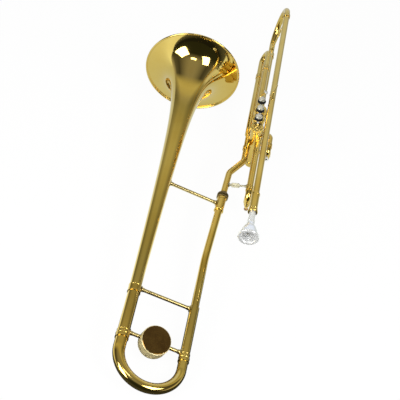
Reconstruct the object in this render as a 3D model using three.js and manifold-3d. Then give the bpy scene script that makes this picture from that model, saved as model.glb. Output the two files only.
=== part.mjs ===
// Valve trombone in B flat with three piston valves.
// Millimetres. +X runs along the bell towards its mouth, +Z runs up the valves towards
// the finger buttons. The origin is the middle of the second valve's flat bottom face.
import * as THREE from 'three';
import { mergeVertices } from 'three/addons/utils/BufferGeometryUtils.js';
import Module from 'manifold-3d';

const wasm = await Module();
wasm.setup();

// Driving dimensions of the whole instrument
const clearance = 0.3;
const overrun = 2;
const weldDistance = 0.0001;
const tubeSpacing = 112;
const bellPlaneTilt = THREE.MathUtils.degToRad(18.5);
const neckAxis = { y: 50.5, z: 68.5 };
const windwayZ = 62;

// Bell: a horn flare that runs from the rim back to a cylindrical stem
const bell = {
  rimX: 112,
  rimRadius: 100.8,
  wall: 0.9,
  flareLength: 13.6,
  flarePower: 0.595,
  stemEndX: -492,
  beadRadius: 1.9,
  beadLip: 5.7,
  beadReach: THREE.MathUtils.degToRad(108),
  beadPoints: 7,
  stations: 15,
  crowdingPower: 2.6,
  sides: 32,
};

// Stations along the bell section, from the neck joint back to the end bow
const station = {
  upperBrace: -222,
  neckBend: -368,
  neckElbow: -131,
  lowerBrace: -486,
  weightBrace: -580,
  slideMouth: -588,
  bowCentre: -612.5,
};

const neck = { radius: 7.15, wall: 0.7, frontX: -228, backX: -503, bendRadius: 600, bendSteps: 2 };
const neckLean = THREE.MathUtils.degToRad(-3.1);
const neckReceiver = { wall: 1.75, neckDepth: 13, tenonDepth: 22.5 };
const lockNut = { rise: 1.8, length: 13, groove: 1.4, grooveLength: 2.6, collar: 3, chamfer: 1 };

// Fixed legs that hold the tuning slide, and the slide itself
const bellLeg = { radius: 10.5, wall: 0.8 };
const neckLeg = { radius: 8.5, wall: 0.75, frontX: -480 };
const ferrule = { wall: 0.8, length: 8.6 };
const stemFerrule = { length: 15 };
const tuningSlide = { legEndX: -509, legWall: 0.7, collarInset: 0.3, collarBite: 0.3, bendSteps: 7 };

const brace = { rodRadius: 3.3, padRadius: 6.4, padThickness: 3.2, sides: 14 };

// Counterweight clamped on the rear brace and turned a little on it
const counterweight = {
  radius: 26,
  thickness: 26,
  shellWall: 1.6,
  edge: 2.2,
  turn: THREE.MathUtils.degToRad(-13.7),
  sides: 28,
};

// Valve casings, caps and pistons, from the bottom face up
const casing = { bore: 9.6, wall: 2.6, topZ: 104, gap: 2.6, sides: 16 };
const cap = { wall: 0.8, plate: 3, skirt: 7.2, boss: 6.6, bossHeight: 2.4, edge: 0.8 };
const piston = { length: 68, headroom: 3, stemRadius: 2.4, travel: 16, portRadius: 5.2 };
const slantPort = { radius: 4.4, lowZ: 78, highZ: 91 };
const stem = { play: 0.4, intoButton: 4.2 };
const button = { radius: 7, thickness: 4, dish: 0.8, edge: 1, neckRadius: 4, neckHeight: 2.2, sides: 16 };
const pearl = { rimGap: 0.3, thickness: 1.2, domeRadius: 4.4 };
const felt = { radius: 8.6, thickness: 2.6 };
const spring = { wireRadius: 0.6, play: 1.6, curls: 6, stepsPerCurl: 8, wireSides: 5 };

// Valve tubing
const slideTube = { radius: 6.5, wall: 0.7, sides: 12, bendSteps: 5, elbowSteps: 3 };
const innerLeg = { play: 0.35, wall: 1.3, bite: 0.65, overlap: 6 };
const windway = { step: 0.1, wall: 0.7 };
const firstSlide = { y: -7, z: windwayZ, spread: 32, sleeveEndX: -178, legEndX: -70, bowCentreX: -182 };
const secondSlide = {
  y: -29.5,
  z: 50,
  spread: 23,
  elbowThroat: 1.5,
  sleeveEndX: -30,
  legEndX: -10,
  bowCentreX: -36,
};
const thirdSlide = {
  near: { y: 4, z: 89 },
  farSkin: 0.6,
  farStartX: -10.2,
  farBoreX: 15,
  sleeveEndX: 182,
  legEndX: 70,
  bowCentreX: 231,
};
const pullKnob = { radius: 2.7, neckRadius: 1.3, neckShare: 0.86, length: 6.4, sides: 12 };
const pullDisc = {
  radius: 4.8,
  neckRadius: 2.2,
  length: 6,
  rimThickness: 1.8,
  recessRadius: 2.2,
  recess: 1.2,
};

// Leadpipe, top bow and the return tube into the third valve
const leadpipe = { y: -20, z: 155, radius: 6.25, wall: 0.7, backX: -286, frontX: 292, sides: 14 };
const topBow = { centreX: 298, bendSteps: 7, wall: 0.8, returnX: 266 };
const returnTube = { step: 0.45, wall: 0.7, standOff: 4.8 };
const receiver = { play: 0.35, wall: 1.3, socket: 26, length: 48, beadRise: 1.3, beadLength: 5 };

// Gooseneck from the first valve to the neck joint
const gooseneck = {
  radius: 6.4,
  wall: 0.7,
  y: 14,
  stubFrontX: -10.8,
  stubBoreX: -24,
  stubBackX: -50,
  bendX: -88,
  bendRadius: 22,
  bendSteps: 4,
  tenonGap: 2,
};

// Mouthpiece: outside and inside stations are measured from its rim towards the shank tip
const mouthpiece = {
  tipGap: 4,
  length: 84,
  rimRadius: 19.6,
  rimThickness: 4.6,
  rimRound: 1.6,
  cupRadius: 12.7,
  cupDepth: 25,
  cupPoints: 7,
  bodyRadius: 16.2,
  bodyAt: 9,
  bellyRadius: 13.6,
  bellyAt: 19,
  waistRadius: 6.6,
  waistAt: 33,
  collarRadius: 7.4,
  collarAt: 38,
  collarLength: 3,
  shankRadius: 6.1,
  tipRadius: 5.3,
  throatRadius: 3.3,
  throatLength: 6,
  tipBore: 4.5,
  sides: 22,
};

// Water key under the lowest turn of the first slide
const waterKey = {
  nippleX: -192,
  nippleDrop: 1.5,
  nippleRadius: 3.4,
  nippleBore: 1.6,
  corkRadius: 3.6,
  corkThickness: 2.4,
  cupRadius: 4.4,
  cupThickness: 1.6,
  pivotX: -181.5,
  touchX: -165,
  armWidth: 4,
  armThickness: 1.8,
  touchRadius: 4,
  earWidth: 5,
  earThickness: 1.4,
  pinRadius: 0.9,
  pinOverhang: 0.6,
  eyeRadius: 2.5,
  sides: 14,
};

// Struts of the valve section
const strut = { rodRadius: 2, padRadius: 4.6, padThickness: 2.4, sides: 12 };
const topStrutX = 283;
const leadStrut = { standOff: 4, footZ: 91 };
const handBrace = {
  x: -165,
  sleeveX: -172,
  leafShare: 0.4,
  leafLength: 16,
  leafWidth: 9,
  leafThickness: 2.4,
};

// Hook on the leadpipe for the right hand's little finger
const fingerHook = {
  footX: 4,
  riseX: 8,
  topX: 30,
  topZ: 173,
  lean: 5,
  tipDrop: 5,
  tipReach: 7,
  rodRadius: 1.7,
  padLength: 12,
  padWidth: 5,
  bendRadius: 3.5,
  bendSteps: 3,
  sides: 10,
};

// Holder for a music lyre, on the third valve's upper sleeve
const lyreSocket = { x: 80, headY: -4, headZ: 108, postRadius: 1.8, headRadius: 4.6, headThickness: 3 };

// Sizes that follow from the ones above, so that what fits together changes together
const pistonRadius = casing.bore - clearance;
const pistonTopZ = casing.topZ - piston.headroom;
const casingRadius = casing.bore + casing.wall;
const capRadius = casingRadius + clearance + cap.wall;
const valveSpacing = 2 * casingRadius + casing.gap;
const valveX = { first: -valveSpacing, second: 0, third: valveSpacing };
const springRadius = casing.bore - spring.play - spring.wireRadius;
const slideBore = slideTube.radius - slideTube.wall;
const windwayRadius = leadpipe.radius + windway.step;
const windwayBore = windwayRadius - windway.wall;
const innerLegRadius = slideBore - innerLeg.play;
const pairOfLegs = (slide) => [-1, 1].map((side) => ({ y: slide.y, z: slide.z + side * slide.spread / 2 }));
const firstLegs = pairOfLegs(firstSlide);
const secondLegs = pairOfLegs(secondSlide);
const thirdFar = { y: casing.bore + thirdSlide.farSkin + slideBore, z: windwayZ };
const thirdLegs = [thirdSlide.near, thirdFar];
const returnRadius = leadpipe.radius + returnTube.step;
const returnStartX = valveX.third + casingRadius + returnTube.standOff;
const receiverBore = leadpipe.radius + receiver.play;
const receiverMouthX = leadpipe.backX - receiver.socket;
const mouthpieceRimX = leadpipe.backX - mouthpiece.tipGap - mouthpiece.length;
const neckReceiverRadius = neck.radius + clearance + neckReceiver.wall;
const neckReceiverFrontX = neck.frontX + neckReceiver.tenonDepth;
const lockNutRadius = neckReceiverRadius + lockNut.rise;

// Finishes
const lacquer = { color: 0xd2a339, roughness: 0.16, metalness: 1 };
const finishes = {
  lacqueredBrass: new THREE.MeshStandardMaterial(lacquer),
  nickelSilver: new THREE.MeshStandardMaterial({ color: 0xcfcdc6, roughness: 0.18, metalness: 1 }),
  silverPlate: new THREE.MeshStandardMaterial({ color: 0xe4e5e6, roughness: 0.12, metalness: 1 }),
  pearlInlay: new THREE.MeshStandardMaterial({ color: 0xeeeae0, roughness: 0.2, metalness: 0 }),
  blackFelt: new THREE.MeshStandardMaterial({ color: 0x161616, roughness: 0.95, metalness: 0 }),
  springSteel: new THREE.MeshStandardMaterial({ color: 0x9a9c9e, roughness: 0.3, metalness: 1 }),
  cork: new THREE.MeshStandardMaterial({ color: 0xa77a4c, roughness: 0.9, metalness: 0 }),
  lead: new THREE.MeshStandardMaterial({ color: 0x6d7075, roughness: 0.7, metalness: 1 }),
};

const instrument = new THREE.Group();
const bellSection = new THREE.Group();
bellSection.position.set(0, neckAxis.y, neckAxis.z);
bellSection.rotation.x = bellPlaneTilt;
instrument.add(bellSection);
bellSection.updateMatrixWorld(true);

// Signed volume of an indexed mesh, to find out which way its faces point
function signedVolume(positions, index) {
  const a = new THREE.Vector3();
  const b = new THREE.Vector3();
  const c = new THREE.Vector3();
  let volume = 0;
  for (let i = 0; i < index.length; i += 3) {
    a.fromBufferAttribute(positions, index[i]);
    b.fromBufferAttribute(positions, index[i + 1]);
    c.fromBufferAttribute(positions, index[i + 2]);
    volume += a.dot(b.cross(c));
  }
  return volume;
}

// Merge shared vertices, drop empty triangles and turn every face outwards
function closed(geometry) {
  const bare = new THREE.BufferGeometry();
  bare.setAttribute('position', geometry.getAttribute('position').clone());
  if (geometry.index) bare.setIndex(Array.from(geometry.index.array));
  const merged = mergeVertices(bare, weldDistance);
  const source = Array.from(merged.index.array);
  const index = [];
  for (let i = 0; i < source.length; i += 3) {
    const [a, b, c] = source.slice(i, i + 3);
    if (a !== b && b !== c && c !== a) index.push(a, b, c);
  }
  if (signedVolume(merged.getAttribute('position'), index) < 0) index.reverse();
  merged.setIndex(index);
  return merged;
}

function toSolid(geometry) {
  const clean = closed(geometry);
  const vertProperties = new Float32Array(clean.getAttribute('position').array);
  const triVerts = new Uint32Array(clean.index.array);
  return new wasm.Manifold(new wasm.Mesh({ numProp: 3, vertProperties, triVerts }));
}

function fromSolid(solid) {
  const mesh = solid.getMesh();
  const geometry = new THREE.BufferGeometry();
  geometry.setAttribute('position', new THREE.BufferAttribute(new Float32Array(mesh.vertProperties), 3));
  geometry.setIndex(Array.from(mesh.triVerts));
  return geometry;
}

// Join the first list of shapes and cut the second list from the result
function carve(joined, cuts = []) {
  let solid = toSolid(joined[0]);
  for (const shape of joined.slice(1)) solid = solid.add(toSolid(shape));
  for (const shape of cuts) solid = solid.subtract(toSolid(shape));
  return fromSolid(solid);
}

function place(name, geometry, finish, parent = instrument) {
  const mesh = new THREE.Mesh(closed(geometry), finish);
  mesh.name = name;
  parent.add(mesh);
  return mesh;
}

// A turned shape from a closed outline of [radius, height] pairs, standing along Z
function turned(outline, sides) {
  const points = outline.map(([radius, height]) => new THREE.Vector2(radius, height));
  points.push(points[0].clone());
  return new THREE.LatheGeometry(points, sides).rotateX(Math.PI / 2);
}

// The same, lying along X, with heights measured along +X
function turnedX(outline, sides) {
  return turned(outline, sides).rotateY(Math.PI / 2);
}

function tubeOutline(start, end, outer, inner) {
  return [[outer, start], [outer, end], [inner, end], [inner, start]];
}

function rodOutline(start, end, radius) {
  return [[0, start], [radius, start], [radius, end], [0, end]];
}

function tubeX(start, end, outer, inner, y = 0, z = 0, sides = leadpipe.sides) {
  return turnedX(tubeOutline(start, end, outer, inner), sides).translate(0, y, z);
}

function rodX(start, end, radius, y = 0, z = 0, sides = leadpipe.sides) {
  return turnedX(rodOutline(start, end, radius), sides).translate(0, y, z);
}

// A plain rod from one point to another
function rodBetween(from, to, radius, sides) {
  const axis = new THREE.Vector3().subVectors(to, from);
  const geometry = turned(rodOutline(0, axis.length(), radius), sides);
  const turn = new THREE.Quaternion().setFromUnitVectors(new THREE.Vector3(0, 0, 1), axis.normalize());
  return geometry.applyQuaternion(turn).translate(from.x, from.y, from.z);
}

// A route of straight runs joined by round bends. Its stations lie at the ends of each
// straight run and at even steps round each bend, so straight runs cost no extra faces.
class Route extends THREE.Curve {
  constructor(corners, bendRadius, bendSteps) {
    super();
    this.points = [corners[0].clone()];
    this.tangents = [corners[1].clone().sub(corners[0]).normalize()];
    for (let i = 1; i < corners.length - 1; i++) {
      this.addBend(corners[i - 1], corners[i], corners[i + 1], bendRadius, bendSteps);
    }
    const last = corners.length - 1;
    this.points.push(corners[last].clone());
    this.tangents.push(corners[last].clone().sub(corners[last - 1]).normalize());
  }

  addBend(before, corner, after, radius, steps) {
    const inward = corner.clone().sub(before).normalize();
    const outward = after.clone().sub(corner).normalize();
    const angle = inward.angleTo(outward);
    const setback = radius * Math.tan(angle / 2);
    const side = outward.clone().addScaledVector(inward, -outward.dot(inward)).normalize();
    const start = corner.clone().addScaledVector(inward, -setback);
    const centre = start.clone().addScaledVector(side, radius);
    for (let i = 0; i <= steps; i++) {
      const turn = angle * i / steps;
      const point = centre.clone();
      point.addScaledVector(side, -radius * Math.cos(turn));
      point.addScaledVector(inward, radius * Math.sin(turn));
      this.points.push(point);
      const tangent = inward.clone().multiplyScalar(Math.cos(turn));
      this.tangents.push(tangent.addScaledVector(side, Math.sin(turn)));
    }
  }

  get steps() {
    return this.points.length - 1;
  }

  getPointAt(share, target = new THREE.Vector3()) {
    return target.copy(this.points[Math.round(share * this.steps)]);
  }

  getTangentAt(share, target = new THREE.Vector3()) {
    return target.copy(this.tangents[Math.round(share * this.steps)]);
  }
}

function ring(radius, sides) {
  const points = [];
  for (let i = 0; i < sides; i++) {
    const angle = 2 * Math.PI * i / sides;
    points.push(new THREE.Vector2(radius * Math.cos(angle), radius * Math.sin(angle)));
  }
  return points;
}

// A tube swept along a route, open at both ends when it has a bore
function sweptTube(route, outer, inner, sides) {
  const section = new THREE.Shape(ring(outer, sides));
  if (inner > 0) section.holes.push(new THREE.Path(ring(inner, sides)));
  return new THREE.ExtrudeGeometry(section, { extrudePath: route, steps: route.steps, bevelEnabled: false });
}

// Scale each section of a swept tube about its own centre, to give the tube a taper
function tapered(geometry, route, scaleAt) {
  const positions = geometry.getAttribute('position');
  const vertex = new THREE.Vector3();
  for (let i = 0; i < positions.count; i++) {
    vertex.fromBufferAttribute(positions, i);
    let nearest = 0;
    for (let k = 1; k < route.points.length; k++) {
      if (vertex.distanceTo(route.points[k]) < vertex.distanceTo(route.points[nearest])) nearest = k;
    }
    vertex.sub(route.points[nearest]).multiplyScalar(scaleAt(nearest)).add(route.points[nearest]);
    positions.setXYZ(i, vertex.x, vertex.y, vertex.z);
  }
  return geometry;
}

function uRoute(startX, bowCentreX, legA, legB, bendSteps, endX = startX) {
  const spread = Math.hypot(legB.y - legA.y, legB.z - legA.z);
  const reach = bowCentreX + Math.sign(bowCentreX - startX) * spread / 2;
  const corners = [
    new THREE.Vector3(startX, legA.y, legA.z),
    new THREE.Vector3(reach, legA.y, legA.z),
    new THREE.Vector3(reach, legB.y, legB.z),
    new THREE.Vector3(endX, legB.y, legB.z),
  ];
  return new Route(corners, spread / 2, bendSteps);
}

function bellRadius(distance) {
  return bell.rimRadius * Math.pow((distance + bell.flareLength) / bell.flareLength, -bell.flarePower);
}

// Stations crowd together near the rim, where the flare turns fastest
function makeBell() {
  const length = bell.rimX - bell.stemEndX;
  const outside = [];
  const inside = [];
  for (let i = 0; i <= bell.stations; i++) {
    const distance = length * Math.pow(i / bell.stations, bell.crowdingPower);
    const radius = bellRadius(distance);
    outside.push([radius, bell.rimX - distance]);
    inside.push([radius - bell.wall, bell.rimX - distance]);
  }
  const bead = [];
  const beadCentre = bell.rimRadius - bell.beadRadius;
  for (let i = 0; i < bell.beadPoints; i++) {
    const angle = bell.beadReach * (1 - 2 * i / (bell.beadPoints - 1));
    bead.push([
      beadCentre + bell.beadRadius * Math.cos(angle),
      bell.rimX - bell.beadRadius + bell.beadRadius * Math.sin(angle),
    ]);
  }
  const outsideFromBead = outside.filter(([radius, x]) => x < bell.rimX - bell.beadLip);
  const insideFromBead = inside.filter(([radius, x]) => x < bell.rimX - 2 * bell.beadRadius);
  const outline = [...bead, ...outsideFromBead, ...insideFromBead.reverse()];
  return turnedX(outline, bell.sides).translate(0, tubeSpacing, 0);
}

// A point of the neck's axis in the bell section's own frame, ahead of its bend
function neckPoint(x) {
  return new THREE.Vector3(x, Math.tan(neckLean) * (x - station.neckBend), 0);
}

// Lay a shape that was drawn along X on the leaning part of the neck, at a station
function onNeck(geometry, x) {
  const point = neckPoint(x);
  return geometry.translate(-x, 0, 0).rotateZ(neckLean).translate(point.x, point.y, point.z);
}

// A rod between two tubes with a pad at each end, saddled to both tubes by the cuts
function makeSaddleBrace(from, to, fromRadius, toRadius, sizes, cuts, extras = []) {
  const axis = new THREE.Vector3().subVectors(to, from).normalize();
  const fromPadEnd = from.clone().addScaledVector(axis, fromRadius + sizes.padThickness);
  const toPadEnd = to.clone().addScaledVector(axis, -toRadius - sizes.padThickness);
  const shapes = [
    rodBetween(from, to, sizes.rodRadius, sizes.sides),
    rodBetween(from, fromPadEnd, sizes.padRadius, sizes.sides),
    rodBetween(toPadEnd, to, sizes.padRadius, sizes.sides),
    ...extras,
  ];
  return carve(shapes, cuts);
}

// A brace of the bell section. The neck end can sit on the leaning part of the neck.
function makeBellBrace(x, neckRadius, bellTubeRadius, bellTubeSides, onLean = false) {
  const reach = brace.padRadius + overrun;
  const neckCut = rodX(x - reach, x + reach, neckRadius + clearance);
  const cuts = [
    onLean ? onNeck(neckCut, x) : neckCut,
    rodX(x - reach, x + reach, bellTubeRadius + clearance, tubeSpacing, 0, bellTubeSides),
  ];
  const from = onLean ? neckPoint(x) : new THREE.Vector3(x, 0, 0);
  const to = new THREE.Vector3(x, tubeSpacing, 0);
  return makeSaddleBrace(from, to, neckRadius, bellTubeRadius, brace, cuts);
}

// A ring over a tube, standing one clearance off it
function ferruleX(start, end, tubeRadius, y, z) {
  const inner = tubeRadius + clearance;
  return tubeX(start, end, inner + ferrule.wall, inner, y, z);
}

function makeCounterweight() {
  const { radius, thickness, shellWall, edge, sides, turn } = counterweight;
  const half = thickness / 2;
  const shell = [
    [0, -half], [radius - edge, -half], [radius, -half + edge],
    [radius, half - edge], [radius - edge, half], [0, half],
  ];
  const room = shellWall + clearance;
  const hollow = rodOutline(-half + shellWall, half - shellWall, radius - shellWall);
  const core = rodOutline(-half + room, half - room, radius - room);
  const rodHole = rodBetween(
    new THREE.Vector3(0, -radius - overrun, 0), new THREE.Vector3(0, radius + overrun, 0),
    brace.rodRadius + clearance, brace.sides);
  const hollowShell = carve([turned(shell, sides)], [turned(hollow, sides), rodHole]);
  const solids = [
    ['counterweight_shell', hollowShell, finishes.lacqueredBrass],
    ['counterweight_core', carve([turned(core, sides)], [rodHole]), finishes.lead],
  ];
  for (const [name, geometry, finish] of solids) {
    const mesh = place(name, geometry, finish, bellSection);
    mesh.position.set(station.weightBrace, tubeSpacing / 2, 0);
    mesh.rotation.y = turn;
  }
}

function makeBellSection() {
  const brass = finishes.lacqueredBrass;
  place('bell', makeBell(), brass, bellSection);

  const stemJoin = bell.stemEndX - clearance;
  const legBore = bellLeg.radius - bellLeg.wall;
  place('bell_slide_leg', tubeX(station.slideMouth, stemJoin, bellLeg.radius, legBore, tubeSpacing),
    brass, bellSection);
  const joinReach = stemFerrule.length / 2;
  const stemRadius = bellRadius(bell.rimX - bell.stemEndX - joinReach);
  place('bell_stem_ferrule', ferruleX(stemJoin - joinReach, stemJoin + joinReach, stemRadius, tubeSpacing, 0),
    brass, bellSection);

  // The neck tube leans a little away from the bell ahead of its bend
  const neckRoute = new Route(
    [new THREE.Vector3(neck.backX, 0, 0), neckPoint(station.neckBend), neckPoint(neck.frontX)],
    neck.bendRadius, neck.bendSteps);
  place('neck_tube', sweptTube(neckRoute, neck.radius, neck.radius - neck.wall, leadpipe.sides),
    brass, bellSection);
  const neckLegBore = neckLeg.radius - neckLeg.wall;
  place('neck_slide_leg', tubeX(station.slideMouth, neckLeg.frontX, neckLeg.radius, neckLegBore),
    brass, bellSection);

  // The receiver takes the neck tube from behind and the gooseneck's tenon from in front
  const tenonBore = gooseneck.radius + clearance;
  const neckBore = neck.radius + clearance;
  const sleeveBackX = neck.frontX - neckReceiver.neckDepth;
  const sleeve = [
    [neckReceiverRadius, sleeveBackX], [neckReceiverRadius, neckReceiverFrontX],
    [tenonBore, neckReceiverFrontX], [tenonBore, neck.frontX + clearance],
    [neckBore, neck.frontX + clearance], [neckBore, sleeveBackX],
  ];
  place('neck_receiver', onNeck(turnedX(sleeve, leadpipe.sides), neck.frontX), brass, bellSection);
  const nutBack = neckReceiverFrontX + clearance;
  const nutFront = nutBack + lockNut.length;
  const grooveBack = nutBack + lockNut.collar;
  const grooveFront = grooveBack + lockNut.grooveLength;
  const nut = [
    [lockNutRadius - lockNut.chamfer, nutBack], [lockNutRadius, nutBack + lockNut.chamfer],
    [lockNutRadius, grooveBack], [lockNutRadius - lockNut.groove, grooveBack],
    [lockNutRadius - lockNut.groove, grooveFront], [lockNutRadius, grooveFront],
    [lockNutRadius, nutFront - lockNut.collar], [neckReceiverRadius, nutFront],
    [tenonBore, nutFront], [tenonBore, nutBack],
  ];
  place('lock_nut', onNeck(turnedX(nut, leadpipe.sides), neck.frontX), brass, bellSection);

  const upperRadius = bellRadius(bell.rimX - station.upperBrace - brace.padRadius);
  place('upper_brace', makeBellBrace(station.upperBrace, neckReceiverRadius, upperRadius, bell.sides, true),
    brass, bellSection);
  const stemOuter = stemRadius + clearance + ferrule.wall;
  place('lower_brace', makeBellBrace(station.lowerBrace, neckLeg.radius, stemOuter, leadpipe.sides),
    brass, bellSection);
  place('weight_brace', makeBellBrace(station.weightBrace, neckLeg.radius, bellLeg.radius, leadpipe.sides),
    brass, bellSection);
  makeCounterweight();
}

// The end bow of the instrument, whose two legs slide in the bell and neck legs
function makeTuningSlide() {
  const brass = finishes.lacqueredBrass;
  const startX = station.slideMouth - clearance;
  const bellSide = { y: tubeSpacing, z: 0 };
  const neckSide = { y: 0, z: 0 };
  const route = uRoute(startX, station.bowCentre, bellSide, neckSide, tuningSlide.bendSteps);
  const bowBore = bellLeg.radius - bellLeg.wall;
  const taper = neckLeg.radius / bellLeg.radius - 1;
  const bow = tapered(
    sweptTube(route, bellLeg.radius, bowBore, leadpipe.sides),
    route, (stop) => 1 + taper * stop / route.steps);

  const shapes = [bow];
  for (const [leg, side] of [[bellLeg, bellSide], [neckLeg, neckSide]]) {
    const outer = leg.radius - leg.wall - clearance;
    const inner = outer - tuningSlide.legWall;
    const collarOuter = leg.radius - tuningSlide.collarInset;
    const collarInner = outer - tuningSlide.collarBite;
    shapes.push(tubeX(startX - ferrule.length, tuningSlide.legEndX, outer, inner, side.y));
    shapes.push(tubeX(startX - ferrule.length, startX, collarOuter, collarInner, side.y));
  }
  place('tuning_slide', carve(shapes), brass, bellSection);
  place('slide_ferrule_bell', ferruleX(startX - ferrule.length, startX, bellLeg.radius, bellSide.y, 0),
    brass, bellSection);
  place('slide_ferrule_neck', ferruleX(startX - ferrule.length, startX, neckLeg.radius, neckSide.y, 0),
    brass, bellSection);
}

function upright(x, start, end, radius, sides = casing.sides) {
  return turned(rodOutline(start, end, radius), sides).translate(x, 0, 0);
}

// A casing with its soldered sleeves, kept clear of the casings beside it
function makeCasing(x, neighbours, sleeves, bores) {
  const floorZ = cap.plate + clearance;
  const cuts = [upright(x, floorZ - overrun, casing.topZ + overrun, casing.bore), ...bores];
  for (const other of neighbours) {
    cuts.push(upright(other, 0, casing.topZ + overrun, casingRadius + clearance));
  }
  return carve([upright(x, floorZ, casing.topZ, casingRadius), ...sleeves], cuts);
}

function makeFirstCasing() {
  const x = valveX.first;
  const sleeves = [];
  const bores = [rodX(x, valveX.second, windwayBore, 0, windwayZ)];
  for (const leg of firstLegs) {
    sleeves.push(rodX(firstSlide.sleeveEndX, x, slideTube.radius, leg.y, leg.z, slideTube.sides));
    bores.push(rodX(firstSlide.sleeveEndX - overrun, x, slideBore, leg.y, leg.z, slideTube.sides));
  }
  sleeves.push(rodX(gooseneck.stubBackX, gooseneck.stubFrontX, gooseneck.radius, gooseneck.y, windwayZ));
  const stubBore = gooseneck.radius - gooseneck.wall;
  bores.push(rodX(gooseneck.stubBackX - overrun, gooseneck.stubBoreX, stubBore, gooseneck.y, windwayZ));
  place('casing_1', makeCasing(x, [valveX.second], sleeves, bores), finishes.lacqueredBrass);
}

function makeSecondCasing() {
  const x = valveX.second;
  const sleeves = [rodX(valveX.first, valveX.third, windwayRadius, 0, windwayZ)];
  const bores = [rodX(valveX.first, valveX.third, windwayBore, 0, windwayZ)];
  const elbow = slideTube.radius + secondSlide.elbowThroat;
  for (const leg of secondLegs) {
    const corners = (endX) => [
      new THREE.Vector3(x, 0, leg.z),
      new THREE.Vector3(x, leg.y, leg.z),
      new THREE.Vector3(endX, leg.y, leg.z),
    ];
    const sleeve = new Route(corners(secondSlide.sleeveEndX), elbow, slideTube.elbowSteps);
    const bore = new Route(corners(secondSlide.sleeveEndX - overrun), elbow, slideTube.elbowSteps);
    sleeves.push(sweptTube(sleeve, slideTube.radius, 0, slideTube.sides));
    bores.push(sweptTube(bore, slideBore, 0, slideTube.sides));
  }
  place('casing_2', makeCasing(x, [valveX.first, valveX.third], sleeves, bores), finishes.lacqueredBrass);
}

// A turned head on a leaning post, soldered to the third valve's upper sleeve
function makeLyreSocket() {
  const { x, headY, headZ, postRadius, headRadius, headThickness } = lyreSocket;
  const foot = new THREE.Vector3(x, thirdSlide.near.y, thirdSlide.near.z + slideBore);
  const head = new THREE.Vector3(x, headY, headZ);
  const axis = new THREE.Vector3().subVectors(head, foot).normalize();
  const headTop = head.clone().addScaledVector(axis, headThickness);
  return [
    rodBetween(foot, head.clone().lerp(headTop, 0.5), postRadius, strut.sides),
    rodBetween(head, headTop, headRadius, button.sides),
  ];
}

function makeThirdCasing() {
  const x = valveX.third;
  const { near, sleeveEndX, farStartX, farBoreX } = thirdSlide;
  const sleeves = [
    rodX(x, sleeveEndX, slideTube.radius, near.y, near.z, slideTube.sides),
    rodX(farStartX, sleeveEndX, slideTube.radius, thirdFar.y, thirdFar.z, slideTube.sides),
    rodX(x, returnStartX - clearance, windwayRadius, 0, windwayZ),
    ...makeLyreSocket(),
  ];
  const bores = [
    rodX(x, sleeveEndX + overrun, slideBore, near.y, near.z, slideTube.sides),
    rodX(farBoreX, sleeveEndX + overrun, slideBore, thirdFar.y, thirdFar.z, slideTube.sides),
    rodX(valveX.second, returnStartX + overrun, windwayBore, 0, windwayZ),
  ];
  place('casing_3', makeCasing(x, [valveX.second], sleeves, bores), finishes.lacqueredBrass);
}

// A helix as one unbroken wire. It stands on the bottom cap under the piston.
class SpringPath extends THREE.Curve {
  constructor(x, startZ, endZ) {
    super();
    this.x = x;
    this.startZ = startZ;
    this.endZ = endZ;
  }

  getPointAt(share, target = new THREE.Vector3()) {
    const angle = 2 * Math.PI * spring.curls * share;
    const z = this.startZ + (this.endZ - this.startZ) * share;
    return target.set(this.x + springRadius * Math.cos(angle), springRadius * Math.sin(angle), z);
  }

  getTangentAt(share, target = new THREE.Vector3()) {
    const angle = 2 * Math.PI * spring.curls * share;
    const turnLength = 2 * Math.PI * spring.curls;
    target.set(-springRadius * turnLength * Math.sin(angle), springRadius * turnLength * Math.cos(angle),
      this.endZ - this.startZ);
    return target.normalize();
  }
}

function makeSpring(x, startZ, endZ) {
  const wireGap = (endZ - startZ) / spring.curls - 2 * spring.wireRadius;
  console.log(`valve spring at ${x}: least gap between its curls ${wireGap.toFixed(2)} mm`);
  return new THREE.ExtrudeGeometry(new THREE.Shape(ring(spring.wireRadius, spring.wireSides)), {
    extrudePath: new SpringPath(x, startZ, endZ),
    steps: spring.curls * spring.stepsPerCurl,
    bevelEnabled: false,
  });
}

function makeBottomCap(x) {
  const inner = casingRadius + clearance;
  const outline = [
    [0, 0], [capRadius - cap.edge, 0], [capRadius, cap.edge], [capRadius, cap.plate + cap.skirt],
    [inner, cap.plate + cap.skirt], [inner, cap.plate], [0, cap.plate],
  ];
  return turned(outline, casing.sides).translate(x, 0, 0);
}

function makeTopCap(x) {
  const inner = casingRadius + clearance;
  const plateZ = casing.topZ + clearance;
  const topZ = plateZ + cap.plate;
  const hole = piston.stemRadius + stem.play;
  const outline = [
    [inner, plateZ - cap.skirt], [capRadius, plateZ - cap.skirt], [capRadius, topZ - cap.edge],
    [capRadius - cap.edge, topZ], [cap.boss, topZ], [cap.boss - cap.edge, topZ + cap.bossHeight],
    [hole, topZ + cap.bossHeight], [hole, plateZ], [inner, plateZ],
  ];
  return turned(outline, casing.sides).translate(x, 0, 0);
}

// Piston with its stem, one straight windway and one slanted windway for the slide
function makePiston(x, stemTopZ) {
  const bottomZ = pistonTopZ - piston.length;
  const outline = [
    [0, bottomZ], [pistonRadius, bottomZ], [pistonRadius, pistonTopZ],
    [piston.stemRadius, pistonTopZ], [piston.stemRadius, stemTopZ], [0, stemTopZ],
  ];
  const reach = casingRadius;
  const slant = (slantPort.highZ - slantPort.lowZ) / (2 * pistonRadius) * reach;
  const middleZ = (slantPort.highZ + slantPort.lowZ) / 2;
  const slantLow = new THREE.Vector3(x + reach, 0, middleZ - slant);
  const slantHigh = new THREE.Vector3(x - reach, 0, middleZ + slant);
  const ports = [
    rodX(x - reach, x + reach, piston.portRadius, 0, windwayZ),
    rodBetween(slantLow, slantHigh, slantPort.radius, strut.sides),
  ];
  return carve([turned(outline, casing.sides).translate(x, 0, 0)], ports);
}

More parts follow.
